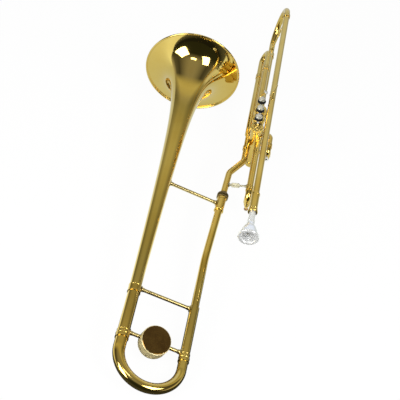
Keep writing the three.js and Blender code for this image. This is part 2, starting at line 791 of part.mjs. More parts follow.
function makeButton(x, baseZ) {
  const hole = piston.stemRadius + clearance;
  const discZ = baseZ + button.neckHeight;
  const topZ = discZ + button.thickness;
  const dishRadius = button.radius - button.edge;
  const outline = [
    [button.neckRadius, baseZ], [button.neckRadius, discZ], [button.radius, discZ],
    [button.radius, topZ - button.edge / 2], [button.radius - button.edge / 2, topZ], [dishRadius, topZ],
    [dishRadius, topZ - button.dish], [0, topZ - button.dish], [0, baseZ + stem.intoButton + clearance],
    [hole, baseZ + stem.intoButton + clearance], [hole, baseZ],
  ];
  return turned(outline, button.sides).translate(x, 0, 0);
}

function makePearl(x, baseZ) {
  const seatZ = baseZ + button.neckHeight + button.thickness - button.dish + clearance;
  const radius = button.radius - button.edge - pearl.rimGap;
  const outline = [
    [0, seatZ], [radius, seatZ], [radius, seatZ + pearl.thickness / 2],
    [pearl.domeRadius, seatZ + pearl.thickness], [0, seatZ + pearl.thickness],
  ];
  return turned(outline, button.sides).translate(x, 0, 0);
}

function makeValves() {
  const capTopZ = casing.topZ + clearance + cap.plate + cap.bossHeight;
  const feltZ = capTopZ + piston.travel + clearance;
  const buttonZ = feltZ + felt.thickness + clearance;
  const springTopZ = pistonTopZ - piston.length - clearance - spring.wireRadius;
  const feltBore = piston.stemRadius + clearance;
  const ringOfFelt = tubeOutline(feltZ, feltZ + felt.thickness, felt.radius, feltBore);
  Object.values(valveX).forEach((x, index) => {
    const number = index + 1;
    place(`bottom_cap_${number}`, makeBottomCap(x), finishes.lacqueredBrass);
    place(`top_cap_${number}`, makeTopCap(x), finishes.lacqueredBrass);
    place(`piston_${number}`, makePiston(x, buttonZ + stem.intoButton), finishes.nickelSilver);
    place(`spring_${number}`, makeSpring(x, cap.plate + clearance + spring.wireRadius, springTopZ),
      finishes.springSteel);
    place(`felt_${number}`, turned(ringOfFelt, button.sides).translate(x, 0, 0), finishes.blackFelt);
    place(`button_${number}`, makeButton(x, buttonZ), finishes.nickelSilver);
    place(`pearl_${number}`, makePearl(x, buttonZ), finishes.pearlInlay);
  });
}

// A small ball knob on a neck, pointing along X, that pulls a slide out
function makePullKnob(x, y, z, direction) {
  const { radius, neckRadius, neckShare, length, sides } = pullKnob;
  const ballAt = length - radius;
  const neckEnd = ballAt - radius * neckShare;
  const outline = [[0, -slideTube.wall], [neckRadius, -slideTube.wall], [neckRadius, neckEnd]];
  for (const turn of [-60, -30, 0, 30, 60]) {
    const angle = THREE.MathUtils.degToRad(turn);
    outline.push([radius * Math.cos(angle), ballAt + radius * Math.sin(angle)]);
  }
  outline.push([0, length]);
  return turnedX(outline, sides).scale(direction, 1, 1).translate(x, y, z);
}

// A shallow dished disc on a neck, pointing along X, that pulls the second slide out
function makePullDisc(x, y, z, direction) {
  const { radius, neckRadius, length, rimThickness, recessRadius, recess } = pullDisc;
  const outline = [
    [0, -slideTube.wall], [neckRadius, -slideTube.wall], [neckRadius, length - rimThickness],
    [radius, length - rimThickness], [radius, length - rimThickness / 2], [radius - rimThickness / 2, length],
    [recessRadius, length], [recessRadius, length - recess], [0, length - recess],
  ];
  return turnedX(outline, pullKnob.sides).scale(direction, 1, 1).translate(x, y, z);
}

// A valve slide: a bow as wide as its sleeves, with thinner legs that run inside them
function makeValveSlide(slide, legs, direction, extras = [], cuts = []) {
  const startX = slide.sleeveEndX + direction * clearance;
  const route = uRoute(startX, slide.bowCentreX, legs[0], legs[1], slideTube.bendSteps);
  const shapes = [sweptTube(route, slideTube.radius, innerLegRadius - innerLeg.bite, slideTube.sides)];
  for (const leg of legs) {
    const ends = [slide.legEndX, startX + direction * innerLeg.overlap].sort((a, b) => a - b);
    shapes.push(tubeX(ends[0], ends[1], innerLegRadius, innerLegRadius - innerLeg.wall,
      leg.y, leg.z, slideTube.sides));
  }
  return carve([...shapes, ...extras], cuts);
}

// Where the outer wall of a bow stands, at a height off the bow's middle
function bowWallX(slide, legs, direction, offset) {
  const radius = Math.hypot(legs[1].y - legs[0].y, legs[1].z - legs[0].z) / 2 + slideTube.radius;
  return slide.bowCentreX + direction * Math.sqrt(radius * radius - offset * offset);
}

function makeSlides() {
  const brass = finishes.lacqueredBrass;
  const secondWall = bowWallX(secondSlide, secondLegs, -1, 0);
  const secondDisc = makePullDisc(secondWall, secondSlide.y, secondSlide.z, -1);
  place('slide_2', makeValveSlide(secondSlide, secondLegs, -1, [secondDisc]), brass);

  const thirdWall = bowWallX(thirdSlide, thirdLegs, 1, 0);
  const { near } = thirdSlide;
  const thirdKnob = makePullKnob(thirdWall, (near.y + thirdFar.y) / 2, (near.z + thirdFar.z) / 2, 1);
  place('slide_3', makeValveSlide(thirdSlide, thirdLegs, 1, [thirdKnob]), brass);
}

// The first slide carries the water key under its bow. The key's lever points back under the
// valve's sleeve, so a push up on its end drops the cork from the nipple.
function makeFirstSlide() {
  const key = waterKey;
  const y = firstSlide.y;
  const outerTurn = firstSlide.spread / 2 + slideTube.radius;
  const wallZ = (x) => firstSlide.z - Math.sqrt(outerTurn * outerTurn - (x - firstSlide.bowCentreX) ** 2);
  const nippleZ = firstSlide.z - outerTurn - key.nippleDrop;
  const corkZ = nippleZ - clearance - key.corkThickness;
  const cupZ = corkZ - clearance - key.cupThickness;
  const armZ = cupZ + key.armThickness / 2;
  const standing = (x, start, end, radius) => upright(x, start, end, radius, key.sides).translate(0, y, 0);

  const insideZ = wallZ(key.nippleX) + slideTube.radius;
  const nipple = standing(key.nippleX, nippleZ, insideZ, key.nippleRadius);
  const drain = standing(key.nippleX, nippleZ - overrun, insideZ, key.nippleBore);
  const earGap = key.armWidth / 2 + clearance;
  const earTopZ = firstSlide.z - outerTurn + slideTube.wall;
  const earBottomZ = armZ - key.earWidth / 2;
  const ears = [-1, 1].map((side) => {
    const ear = new THREE.BoxGeometry(key.earWidth, key.earThickness, earTopZ - earBottomZ);
    return ear.translate(key.pivotX, y + side * (earGap + key.earThickness / 2), (earTopZ + earBottomZ) / 2);
  });
  const pinReach = earGap + key.earThickness + key.pinOverhang;
  const acrossPivot = (reach, radius) => rodBetween(
    new THREE.Vector3(key.pivotX, y - reach, armZ), new THREE.Vector3(key.pivotX, y + reach, armZ),
    radius, strut.sides);
  const pinHole = acrossPivot(pinReach + overrun, key.pinRadius + clearance);
  const knob = makePullKnob(bowWallX(firstSlide, firstLegs, -1, 0), y, firstSlide.z, -1);
  place('slide_1', makeValveSlide(firstSlide, firstLegs, -1, [nipple, knob, ...ears], [drain, pinHole]),
    finishes.lacqueredBrass);
  place('water_key_pin', acrossPivot(pinReach, key.pinRadius), finishes.nickelSilver);

  const armLength = key.touchX - key.nippleX;
  const arm = new THREE.BoxGeometry(armLength, key.armWidth, key.armThickness);
  arm.translate(key.nippleX + armLength / 2, y, armZ);
  const lever = [
    arm,
    acrossPivot(key.armWidth / 2, key.eyeRadius),
    standing(key.nippleX, cupZ, cupZ + key.cupThickness, key.cupRadius),
    standing(key.touchX, armZ - key.armThickness / 2, armZ + key.armThickness / 2, key.touchRadius),
  ];
  place('water_key', carve(lever, [pinHole]), finishes.nickelSilver);
  place('water_key_cork', standing(key.nippleX, corkZ, corkZ + key.corkThickness, key.corkRadius),
    finishes.cork);
}

// The gooseneck leaves the first valve, steps across and enters the neck receiver
function makeGooseneck() {
  const toWorld = (x) => bellSection.localToWorld(neckPoint(x));
  const startX = gooseneck.stubBackX - clearance;
  const route = new Route([
    new THREE.Vector3(startX, gooseneck.y, windwayZ),
    new THREE.Vector3(gooseneck.bendX, gooseneck.y, windwayZ),
    toWorld(station.neckElbow),
    toWorld(neck.frontX + gooseneck.tenonGap),
  ], gooseneck.bendRadius, gooseneck.bendSteps);
  const bore = gooseneck.radius - gooseneck.wall;
  place('gooseneck', sweptTube(route, gooseneck.radius, bore, leadpipe.sides), finishes.lacqueredBrass);
  const reach = ferrule.length / 2;
  place('gooseneck_ferrule', ferruleX(startX - reach, startX + reach, gooseneck.radius,
    gooseneck.y, windwayZ), finishes.lacqueredBrass);
}

function makeLeadpipe() {
  const brass = finishes.lacqueredBrass;
  const { y, z, radius, wall, backX, frontX } = leadpipe;
  place('leadpipe', tubeX(backX, frontX, radius, radius - wall, y, z), brass);
  const bowStart = frontX + clearance;
  const returnLeg = { y: 0, z: windwayZ };
  const route = uRoute(bowStart, topBow.centreX, leadpipe, returnLeg, topBow.bendSteps, topBow.returnX);
  place('top_bow', sweptTube(route, radius, radius - topBow.wall, leadpipe.sides), brass);
  place('return_tube', tubeX(returnStartX, topBow.returnX - clearance, returnRadius,
    returnRadius - returnTube.wall, 0, windwayZ), brass);
  const reach = ferrule.length / 2;
  place('bow_ferrule_lead', ferruleX(frontX - reach, frontX + reach, radius, y, z), brass);
  place('bow_ferrule_return', ferruleX(topBow.returnX - ferrule.length, topBow.returnX + reach,
    returnRadius, 0, windwayZ), brass);

  const outer = receiverBore + receiver.wall;
  const beadRadius = outer + receiver.beadRise;
  const beadEndX = receiverMouthX + receiver.beadLength;
  const endX = receiverMouthX + receiver.length;
  const socket = [
    [receiverBore, receiverMouthX], [beadRadius, receiverMouthX], [beadRadius, beadEndX],
    [outer, beadEndX], [outer, endX], [receiverBore, endX],
  ];
  place('mouthpiece_receiver', turnedX(socket, leadpipe.sides).translate(0, y, z), brass);
}

function makeMouthpiece() {
  const m = mouthpiece;
  const outside = [
    [m.rimRadius - m.rimRound, 0], [m.rimRadius, m.rimRound], [m.rimRadius, m.rimThickness],
    [m.bodyRadius, m.rimThickness + m.rimRound], [m.bodyRadius, m.bodyAt], [m.bellyRadius, m.bellyAt],
    [m.waistRadius, m.waistAt], [m.waistRadius, m.collarAt], [m.collarRadius, m.collarAt],
    [m.collarRadius, m.collarAt + m.collarLength], [m.shankRadius, m.collarAt + m.collarLength],
    [m.tipRadius, m.length],
  ];
  const inside = [[m.tipBore, m.length], [m.throatRadius, m.cupDepth + m.throatLength]];
  for (let i = 0; i < m.cupPoints; i++) {
    const share = i / (m.cupPoints - 1);
    const radius = m.throatRadius + (m.cupRadius - m.throatRadius) * Math.sin(share * Math.PI / 2);
    inside.push([radius, m.cupDepth * Math.cos(share * Math.PI / 2)]);
  }
  inside[inside.length - 1][1] = m.rimRound;
  inside.push([m.cupRadius + m.rimRound, 0]);
  const outline = [...outside, ...inside].map(([radius, along]) => [radius, mouthpieceRimX + along]);
  place('mouthpiece', turnedX(outline, m.sides).translate(0, leadpipe.y, leadpipe.z), finishes.silverPlate);
}

// Struts that tie the leadpipe to the return tube and to the outer two casings
function makeStruts() {
  const brass = finishes.lacqueredBrass;
  const reach = strut.padRadius + overrun;
  const leadCut = (x) => rodX(x - reach, x + reach, leadpipe.radius + clearance, leadpipe.y, leadpipe.z);
  const topCuts = [
    leadCut(topStrutX),
    rodX(topStrutX - reach, topStrutX + reach, leadpipe.radius + clearance, 0, windwayZ),
  ];
  const leadEnd = new THREE.Vector3(topStrutX, leadpipe.y, leadpipe.z);
  const returnEnd = new THREE.Vector3(topStrutX, 0, windwayZ);
  place('top_strut', makeSaddleBrace(returnEnd, leadEnd, leadpipe.radius, leadpipe.radius, strut, topCuts),
    brass);

  const strutY = -casingRadius - leadStrut.standOff;
  for (const [name, x] of [['lead_strut_1', valveX.first], ['lead_strut_3', valveX.third]]) {
    const foot = new THREE.Vector3(x, strutY, leadStrut.footZ);
    const head = new THREE.Vector3(x, strutY, leadpipe.z);
    const padFrom = new THREE.Vector3(x, strutY, leadpipe.z - leadpipe.radius - strut.padThickness);
    const casingCut = upright(x, 0, casing.topZ, casingRadius + clearance);
    const shapes = [
      rodBetween(foot, head, strut.rodRadius, strut.sides),
      rodBetween(padFrom, head, strut.padRadius, strut.sides),
      rodBetween(new THREE.Vector3(x, strutY - strut.rodRadius, leadStrut.footZ),
        new THREE.Vector3(x, 0, leadStrut.footZ), strut.padRadius, strut.sides),
    ];
    place(name, carve(shapes, [casingCut, leadCut(x)]), brass);
  }
}

// The hand brace between the gooseneck and the first slide, with its flattened thumb leaf
function makeHandBrace() {
  const from = bellSection.localToWorld(neckPoint(handBrace.x));
  const sleeve = firstLegs[1];
  const to = new THREE.Vector3(handBrace.sleeveX, sleeve.y, sleeve.z);
  const reach = strut.padRadius + overrun;
  const round = rodX(handBrace.x - reach, handBrace.x + reach, gooseneck.radius + clearance);
  const neckCut = onNeck(round, handBrace.x).applyMatrix4(bellSection.matrixWorld);
  const sleeveCut = rodX(to.x - reach, to.x + reach, slideTube.radius + clearance,
    sleeve.y, sleeve.z, slideTube.sides);
  const axis = new THREE.Vector3().subVectors(to, from);
  const alongY = new THREE.Vector3(0, 1, 0);
  const turn = new THREE.Quaternion().setFromUnitVectors(alongY, axis.clone().normalize());
  const centre = from.clone().addScaledVector(axis, handBrace.leafShare);
  const leaf = new THREE.BoxGeometry(handBrace.leafWidth, handBrace.leafLength, handBrace.leafThickness)
    .applyQuaternion(turn).translate(centre.x, centre.y, centre.z);
  place('hand_brace', makeSaddleBrace(from, to, gooseneck.radius, slideTube.radius, strut,
    [neckCut, sleeveCut], [leaf]), finishes.lacqueredBrass);
}

// A bent rod on a curved pad, open towards the bell, for the little finger
function makeFingerHook() {
  const { y, z, radius } = leadpipe;
  const hook = fingerHook;
  const route = new Route([
    new THREE.Vector3(hook.footX, y, z + radius),
    new THREE.Vector3(hook.riseX, y, hook.topZ),
    new THREE.Vector3(hook.topX, y - hook.lean, hook.topZ),
    new THREE.Vector3(hook.topX + hook.tipReach, y - hook.lean, hook.topZ - hook.tipDrop),
  ], hook.bendRadius, hook.bendSteps);
  const pad = tubeX(hook.footX - hook.padLength / 2, hook.footX + hook.padLength / 2,
    radius + clearance + strut.padThickness, radius + clearance, y, z);
  const keep = new THREE.BoxGeometry(hook.padLength + overrun, hook.padWidth, radius)
    .translate(hook.footX, y, z + radius + clearance + strut.padThickness / 2);
  const curvedPad = fromSolid(toSolid(pad).intersect(toSolid(keep)));
  const leadCut = rodX(hook.footX - hook.padLength, hook.footX + hook.padLength, radius + clearance, y, z);
  place('finger_hook', carve([curvedPad, sweptTube(route, hook.rodRadius, 0, hook.sides)], [leadCut]),
    finishes.lacqueredBrass);
}

makeBellSection();
makeTuningSlide();
makeFirstCasing();
makeSecondCasing();
makeThirdCasing();
makeValves();
makeFirstSlide();
makeSlides();
makeGooseneck();
makeLeadpipe();
makeMouthpiece();
makeStruts();
makeHandBrace();
makeFingerHook();

export default instrument;
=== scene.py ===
# A valve trombone in lacquered brass, seen from above and behind its bell.
# Sizes below are in millimetres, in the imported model's own frame.
import math

import bmesh
import bpy
from mathutils import Matrix, Vector


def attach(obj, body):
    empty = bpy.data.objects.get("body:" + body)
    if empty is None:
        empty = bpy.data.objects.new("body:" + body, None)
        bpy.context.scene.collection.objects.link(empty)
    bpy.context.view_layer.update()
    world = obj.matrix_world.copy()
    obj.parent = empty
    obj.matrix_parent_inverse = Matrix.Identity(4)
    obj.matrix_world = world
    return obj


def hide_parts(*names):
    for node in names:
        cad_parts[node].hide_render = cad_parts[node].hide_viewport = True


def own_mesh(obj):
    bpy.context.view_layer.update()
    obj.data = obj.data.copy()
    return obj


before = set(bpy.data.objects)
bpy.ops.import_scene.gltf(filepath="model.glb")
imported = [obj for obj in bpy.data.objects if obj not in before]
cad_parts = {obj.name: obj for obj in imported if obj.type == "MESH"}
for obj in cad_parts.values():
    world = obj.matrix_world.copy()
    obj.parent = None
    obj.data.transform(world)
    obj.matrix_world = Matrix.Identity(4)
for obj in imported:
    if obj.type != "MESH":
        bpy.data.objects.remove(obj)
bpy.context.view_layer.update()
scene = bpy.context.scene
scene.view_settings.view_transform = "Standard"
print("loaded", len(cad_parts), "nodes")

metre = 0.001  # a millimetre in metres
gap = 0.3  # soldered and sliding pieces stand this far apart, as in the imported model
still = Matrix.Identity(4)


def addObject(name, data):
    added = bpy.data.objects.new(name, data)
    scene.collection.objects.link(added)
    return added


def placeAt(spot, *axes):
    # moves to a spot and turns X, Y and Z onto three axes
    return Matrix.Translation(spot) @ Matrix(axes).transposed().to_4x4()


# camera
cameraSetup = {
    "place": (-1565.24, -9.17, 1481.69),
    "right": (0.1601, -0.9832, 0.0881),
    "up": (0.7076, 0.1765, 0.6842),
    "back": (-0.6882, -0.0471, 0.7240),
    "lens": 91.3,
    "sensor": 36.0,
    "clip": (0.05, 60),
}


def addCamera(setup):
    data = bpy.data.cameras.new("camera")
    data.lens = setup["lens"]
    data.sensor_width = setup["sensor"]
    data.clip_start, data.clip_end = setup["clip"]
    scene.camera = addObject("camera", data)
    scene.camera.matrix_world = placeAt(Vector(setup["place"]) * metre, setup["right"],
                                        setup["up"], setup["back"])


addCamera(cameraSetup)


# materials
def linearColour(hexText):
    values = [int(hexText[i : i + 2], 16) / 255 for i in (1, 3, 5)]
    return tuple(v / 12.92 if v <= 0.04045 else ((v + 0.055) / 1.055) ** 2.4 for v in values)


def addNode(tree, kind, settings=None, **links):
    # adds one shader node. "stops" fills a colour ramp with (place, colour) pairs. A link starts
    # at a socket or at a node's first output, and i0, i1 and so on are inputs by their number
    node = tree.nodes.new("ShaderNode" + kind)
    for name, value in (settings or {}).items():
        if name == "stops":
            elements = node.color_ramp.elements
            elements[0].position, elements[-1].position = value[0][0], value[-1][0]
            for place, _ in value[1:-1]:
                elements.new(place)
            for element, (_, colour) in zip(elements, value):
                element.color = (*colour, 1)
        elif isinstance(name, int) or name in node.inputs:
            node.inputs[name].default_value = value
        else:
            setattr(node, name, value)
    for name, source in links.items():
        key = int(name[1:]) if name[1:].isdigit() else name.replace("_", " ")
        output = source.outputs[0] if isinstance(source, bpy.types.Node) else source
        tree.links.new(output, node.inputs[key])
    return node


def newMaterial(name):
    # a material, its emptied tree and the object's own coordinates
    material = bpy.data.materials.new(name)
    material.use_nodes = True
    tree = material.node_tree
    tree.nodes.clear()
    return material, tree, addNode(tree, "TexCoord").outputs["Object"]


def hexStops(*stops):
    return [(at, linearColour(text)) for at, text in stops]


def greyStops(low, high):
    return [(0.3, (low, low, low)), (0.7, (high, high, high))]


def polishedMetal(name, pale, deep, roughness, smudge, coat, patchSize, bumpSize, bumpDepth,
                  metallic=1.0):
    material, tree, place = newMaterial(name)
    patches = addNode(tree, "TexNoise", {"Scale": 1000 / patchSize, "Detail": 4, "Roughness": 0.55},
                      Vector=place)
    colour = addNode(tree, "ValToRGB", {"stops": hexStops((0.32, deep), (0.66, pale))}, Fac=patches)
    wipes = addNode(tree, "TexNoise", {"Scale": 1000 / (patchSize * 0.4), "Detail": 6,
                                       "Roughness": 0.65, "Distortion": 0.6}, Vector=place)
    rough = addNode(tree, "ValToRGB", {"stops": greyStops(roughness, roughness + smudge)},
                    Fac=wipes)
    waves = addNode(tree, "TexNoise", {"Scale": 1000 / bumpSize, "Detail": 2}, Vector=place)
    bump = addNode(tree, "Bump", {"Strength": 0.2, "Distance": bumpDepth * metre}, Height=waves)
    shader = addNode(tree, "BsdfPrincipled",
                     {"Metallic": metallic, "Coat Weight": coat, "Coat Roughness": 0.03},
                     Base_Color=colour, Roughness=rough, Normal=bump)
    addNode(tree, "OutputMaterial", Surface=shader)
    return material


# each metal: its name, pale and deep colour, roughness, what smudges add to that, its coat, in mm
# the width of its patches, the width of its waves and their depth, and how metallic it is if not 1
# yellow brass, drawn, buffed and lacquered: pale gold where it mirrors white, deep olive where dark
lacqueredBrass = polishedMetal("lacquered_brass", "#DDC06A", "#D3AF52", 0.06, 0.06, 0.3, 60, 26,
                               0.05)
# brass spun and buffed by hand, with faint long waves: the mirrored edges wander a little
spunBrass = polishedMetal("spun_brass_bell", "#DFC36E", "#D8B75E", 0.045, 0.04, 0.3, 90, 40, 0.07)
# nickel silver, turned and buffed: a warm silver that takes soft smudges
buffedNickel = polishedMetal("buffed_nickel_silver", "#E2DFD6", "#CFCBC0", 0.09, 0.1, 0, 30, 9,
                             0.01)
# brass rod, drawn and left with the die's fine lines: softer and greyer than the buffed tubes
drawnRod = polishedMetal("drawn_brass_rod", "#C2AE74", "#B7A268", 0.16, 0.1, 0.2, 25, 4, 0.01)
# silver plate, as it comes from the bath: milky white rather than a mirror, with a cool grey shade
platedSilver = polishedMetal("milky_silver_plate", "#F6F6F4", "#E2E3E4", 0.2, 0.12, 0.2, 30, 12,
                             0.01, 0.5)
# nickel silver with a satin finish: a flat grey without a mirror image
satinNickel = polishedMetal("satin_nickel_silver", "#B9B49C", "#A09A80", 0.38, 0.12, 0, 8, 3, 0.02)
# brass left unlacquered where it is gripped, brown and dull
grippedBrass = polishedMetal("unlacquered_brass_nut", "#8C7A50", "#5F5031", 0.26, 0.16, 0, 7, 3,
                             0.03)
# painted highlight: brass under a satin lacquer that mirrors next to nothing, its colour painted a
# pale even gold so the counterweight's side looks lit
paintedLitBrass = polishedMetal("painted_pale_lit_brass", "#EADBA9", "#E0CF98", 0.28, 0.1, 0.3, 20, 8,
                             0.02, 0.45)
# painted dark reflection: the counterweight's flat brass faces are coloured deep brown for the dark
# they mirror, and still gleam
paintedDarkFace = polishedMetal("painted_dark_reflection_face", "#86652E", "#745424", 0.12, 0.1, 0.2, 14, 6,
                              0.03)
# spring wire, drawn: grey and a little dull
drawnWire = polishedMetal("drawn_spring_wire", "#A9ABAD", "#8C8E91", 0.22, 0.12, 0, 12, 3, 0.01)
# lead, cast: dull blue grey with a pitted skin
castLead = polishedMetal("cast_lead", "#7C8086", "#5F6369", 0.5, 0.2, 0, 14, 2.5, 0.15)


def grainedMaterial(name, pattern, size, settings, stops, surface, bump=0, rough=None):
    # one pattern, drawn at a size in mm, gives the colour and, where asked, bumps and roughness
    material, tree, place = newMaterial(name)
    grain = addNode(tree, pattern, {"Scale": 1000 / size, **settings}, Vector=place)
    links = {"Base_Color": addNode(tree, "ValToRGB", {"stops": hexStops(*stops)}, Fac=grain)}
    if bump:
        depth = 0.2 * metre
        links["Normal"] = addNode(tree, "Bump", {"Strength": bump, "Distance": depth}, Height=grain)
    if rough:
        links["Roughness"] = addNode(tree, "ValToRGB", {"stops": greyStops(*rough)}, Fac=grain)
    shader = addNode(tree, "BsdfPrincipled", surface, **links)
    addNode(tree, "OutputMaterial", Surface=shader)
    return material


# wool felt, pressed: black with a grey bloom of loose fibres
blackFelt = grainedMaterial("pressed_black_felt", "TexNoise", 0.4, {"Detail": 6, "Roughness": 0.8},
                            [(0.35, "#080808"), (0.75, "#1B1A1A")],
                            {"Roughness": 0.95, "Sheen Weight": 0.08}, bump=0.6)
# mother of pearl, ground and polished: milky, with slow pink and green drifts
pearlShell = grainedMaterial("polished_pearl_shell", "TexNoise", 3,
                             {"Detail": 3, "Distortion": 1.4},
                             [(0.3, "#CFCBB6"), (0.45, "#DCD2C6"), (0.56, "#D2D8C8"),
                              (0.72, "#E4E0D0")],
                             {"Roughness": 0.15, "Coat Weight": 0.6, "Coat Roughness": 0.04})
# natural cork, cut: tan with dark pores
corkPad = grainedMaterial("natural_cork", "TexVoronoi", 0.6, {},
                          [(0.1, "#6A4526"), (0.4, "#B98C5C")], {"Roughness": 0.85}, bump=0.5)
# black phenolic knob, moulded and buffed: near black with a small soft gleam
blackKnob = grainedMaterial("moulded_black_phenolic", "TexNoise", 2.5, {"Detail": 5},
                            [(0.3, "#0E0D0C"), (0.7, "#1F1C1A")], {}, rough=(0.18, 0.34))
print("materials made")


# placings. A shape that was turned about X is moved or turned by them
def alongX(y=0.0, z=0.0, base=still):
    return base @ Matrix.Translation((0, y, z))


def alongZ(x, y=0.0):
    return Matrix.Translation((x, y, 0)) @ Matrix.Rotation(-math.pi / 2, 4, "Y")


def alongLine(start, end):
    axis = (Vector(end) - Vector(start)).normalized()
    return Matrix.Translation(Vector(start)) @ axis.to_track_quat("X", "Z").to_matrix().to_4x4()


# shapes. Each is its points and its faces
def skin(rows):
    # faces from each row of points to the next, with three corners where a row is one point
    faces = []
    for row, after in zip(rows, rows[1:]):
        for k in range(len(row)):
            n = (k + 1) % len(row)
            corners = list(dict.fromkeys((row[k], after[k], after[n], row[n])))
            if len(corners) > 2:
                faces.append(corners)
    return faces


def easeOutline(outline, size, steps):
    # rounds each corner of an outline a little, so that the edge catches the light
    eased = []
    for i, point in enumerate(outline):
        here = Vector(point)
        before = Vector(outline[i - 1]) - here
        after = Vector(outline[(i + 1) % len(outline)]) - here
        short = min(before.length, after.length)
        if abs(here.x) < 1e-6 or short < 1e-4 or before.angle(after) > math.radians(165):
            eased.append((here.x, here.y))
            continue
        reach = min(size, short * 0.45)
        first = here + before.normalized() * reach
        last = here + after.normalized() * reach
        for k in range(steps + 1):
            share = k / steps
            spot = first * (1 - share) ** 2 + here * 2 * share * (1 - share) + last * share ** 2
            eased.append((spot.x, spot.y))
    return eased


def turnedShape(outline, placing, sides=48, ease=None, wave=None):
    # closed outline of (radius, distance along X) turned about X, its corners eased by a size in
    # a number of steps
    if ease:
        outline = easeOutline(outline, *ease)
    points, rows = [], []
    for radius, along in outline:
        if radius < 1e-6:
            rows.append([len(points)] * sides)
            points.append(placing @ Vector((along, 0, 0)))
            continue
        rows.append(range(len(points), len(points) + sides))
        for k in range(sides):
            angle = 2 * math.pi * k / sides
            reach = radius + (wave(k, along, radius) if wave else 0)
            spot = Vector((along, reach * math.cos(angle), reach * math.sin(angle)))
            points.append(placing @ spot)
    return points, skin(rows + rows[:1])


def tubeShape(start, end, outer, inner, placing, sides=48):
    outline = [(outer, start), (outer, end), (inner, end), (inner, start)]
    return turnedShape(outline, placing, sides, (0.25, 2))


def rodShape(start, end, radius, placing, sides, ease=0.3):
    outline = [(0, start), (radius, start), (radius, end), (0, end)]
    return turnedShape(outline, placing, sides, (ease, 2))


def knurlWave(land, rise, fall):
    # straight knurl: every third point of a land stands up
    def wave(k, along, radius):
        return (rise if k % 3 == 0 else -fall) if radius > land else 0
    return wave


def bentPath(corners, bend, perBend):
    # straight runs joined by round bends
    corners = [Vector(c) for c in corners]
    path = [corners[0]]
    for before, corner, after in zip(corners, corners[1:], corners[2:]):
        inward = (corner - before).normalized()
        outward = (after - corner).normalized()
        angle = inward.angle(outward)
        setback = bend * math.tan(angle / 2)
        side = (outward - inward * outward.dot(inward)).normalized()
        centre = corner - inward * setback + side * bend
        for k in range(perBend + 1):
            turn = angle * k / perBend
            path.append(centre - side * bend * math.cos(turn) + inward * bend * math.sin(turn))
    path.append(corners[-1])
    apart = [path[0]]
    for point in path[1:]:
        if (point - apart[-1]).length > 1e-3:
            apart.append(point)
    return apart


def sweptShape(path, outer, inner, sides, placing=still):
    # tube along a path. Each radius may be a function of the share of the length
    lengths = [0.0]
    for a, b in zip(path, path[1:]):
        lengths.append(lengths[-1] + (b - a).length)
    around = [path[0], *path, path[-1]]
    tangents = [(b - a).normalized() for a, b in zip(around, around[2:])]
    across = tangents[0].orthogonal().normalized()
    outerRows, innerRows, points = [], [], []
    for i, point in enumerate(path):
        if i:
            across = (tangents[i - 1].rotation_difference(tangents[i]) @ across).normalized()
        other = tangents[i].cross(across)
        for rows, radius in ((outerRows, outer), (innerRows, inner)):
            rows.append(range(len(points), len(points) + sides))
            reach = radius(lengths[i] / lengths[-1]) if callable(radius) else radius
            for k in range(sides):
                angle = 2 * math.pi * k / sides
                spot = point + (across * math.cos(angle) + other * math.sin(angle)) * reach
                points.append(placing @ spot)
    return points, skin(outerRows + innerRows[::-1] + outerRows[:1])


def blockShape(size, placing, ease):
    # bar with rounded edges
    mesh = bmesh.new()
    bmesh.ops.create_cube(mesh, size=1.0, matrix=Matrix.Diagonal((*size, 1)))
    bmesh.ops.bevel(mesh, geom=mesh.edges[:], offset=min(ease, min(Vector(size) / 2) * 0.9),
                    segments=3, profile=0.5, affect="EDGES")
    points = [placing @ v.co for v in mesh.verts]
    faces = [[v.index for v in f.verts] for f in mesh.faces]
    mesh.free()
    return points, faces


def saddleShape(centre, facing, radius, length, wrap, thickness, placing=still, axis=(1, 0, 0)):
    # curved foot that lies on a tube, thick in the middle and thin at its oval edge
    axis, facing = Vector(axis), Vector(facing).normalized()
    side = axis.cross(facing)
    rings, spokes = 8, 40
    points, layers = [], []
    for isUpper in (True, False):
        rows = []
        for r in range(rings + 1):
            share = r / rings
            row = []
            for k in range(spokes if r else 1):
                angle = 2 * math.pi * k / spokes
                along = share * length / 2 * math.cos(angle)
                around = share * wrap * math.sin(angle)
                rise = radius + gap + gap * 0.3
                if isUpper:
                    rise += 0.35 + thickness * (1 - share ** 2.2) ** 0.8
                spot = Vector(centre) + axis * along
                spot += (facing * math.cos(around) + side * math.sin(around)) * rise
                row.append(len(points))
                points.append(placing @ spot)
            rows.append(row if r else row * spokes)
        layers.append(rows)
    upper, lower = layers
    faces = skin(upper) + [face[::-1] for face in skin(lower)] + skin([upper[-1], lower[-1]])
    return points, faces


def isSharp(edge, degrees):
    return edge.is_manifold and edge.calc_face_angle(0) > math.radians(degrees)


def addPiece(name, mesh, work, material, body, node, sharp):
    for face in work.faces:
        face.smooth = True
    for edge in work.edges:
        edge.smooth = not isSharp(edge, sharp)
    work.to_mesh(mesh)
    work.free()
    mesh.materials.clear()
    mesh.materials.append(material)
    piece = addObject(name, mesh)
    # a long face keeps its own shade right up to an eased edge
    piece.modifiers.new("steady_normals", "WEIGHTED_NORMAL").keep_sharp = True
    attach(piece, body)
    if node:
        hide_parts(node)
    return piece


def makePiece(name, shapes, node=None, material=lacqueredBrass, body="frame", sharp=32):
    # a piece of one shape or of a list of them
    points, faces = [], []
    for morePoints, moreFaces in shapes if isinstance(shapes, list) else [shapes]:
        faces += [[i + len(points) for i in face] for face in moreFaces]
        points += morePoints
    mesh = bpy.data.meshes.new(name)
    mesh.from_pydata([tuple(p * metre) for p in points], [], faces)
    work = bmesh.new()
    work.from_mesh(mesh)
    bmesh.ops.recalc_face_normals(work, faces=work.faces[:])
    return addPiece(name, mesh, work, material, body, node, sharp)


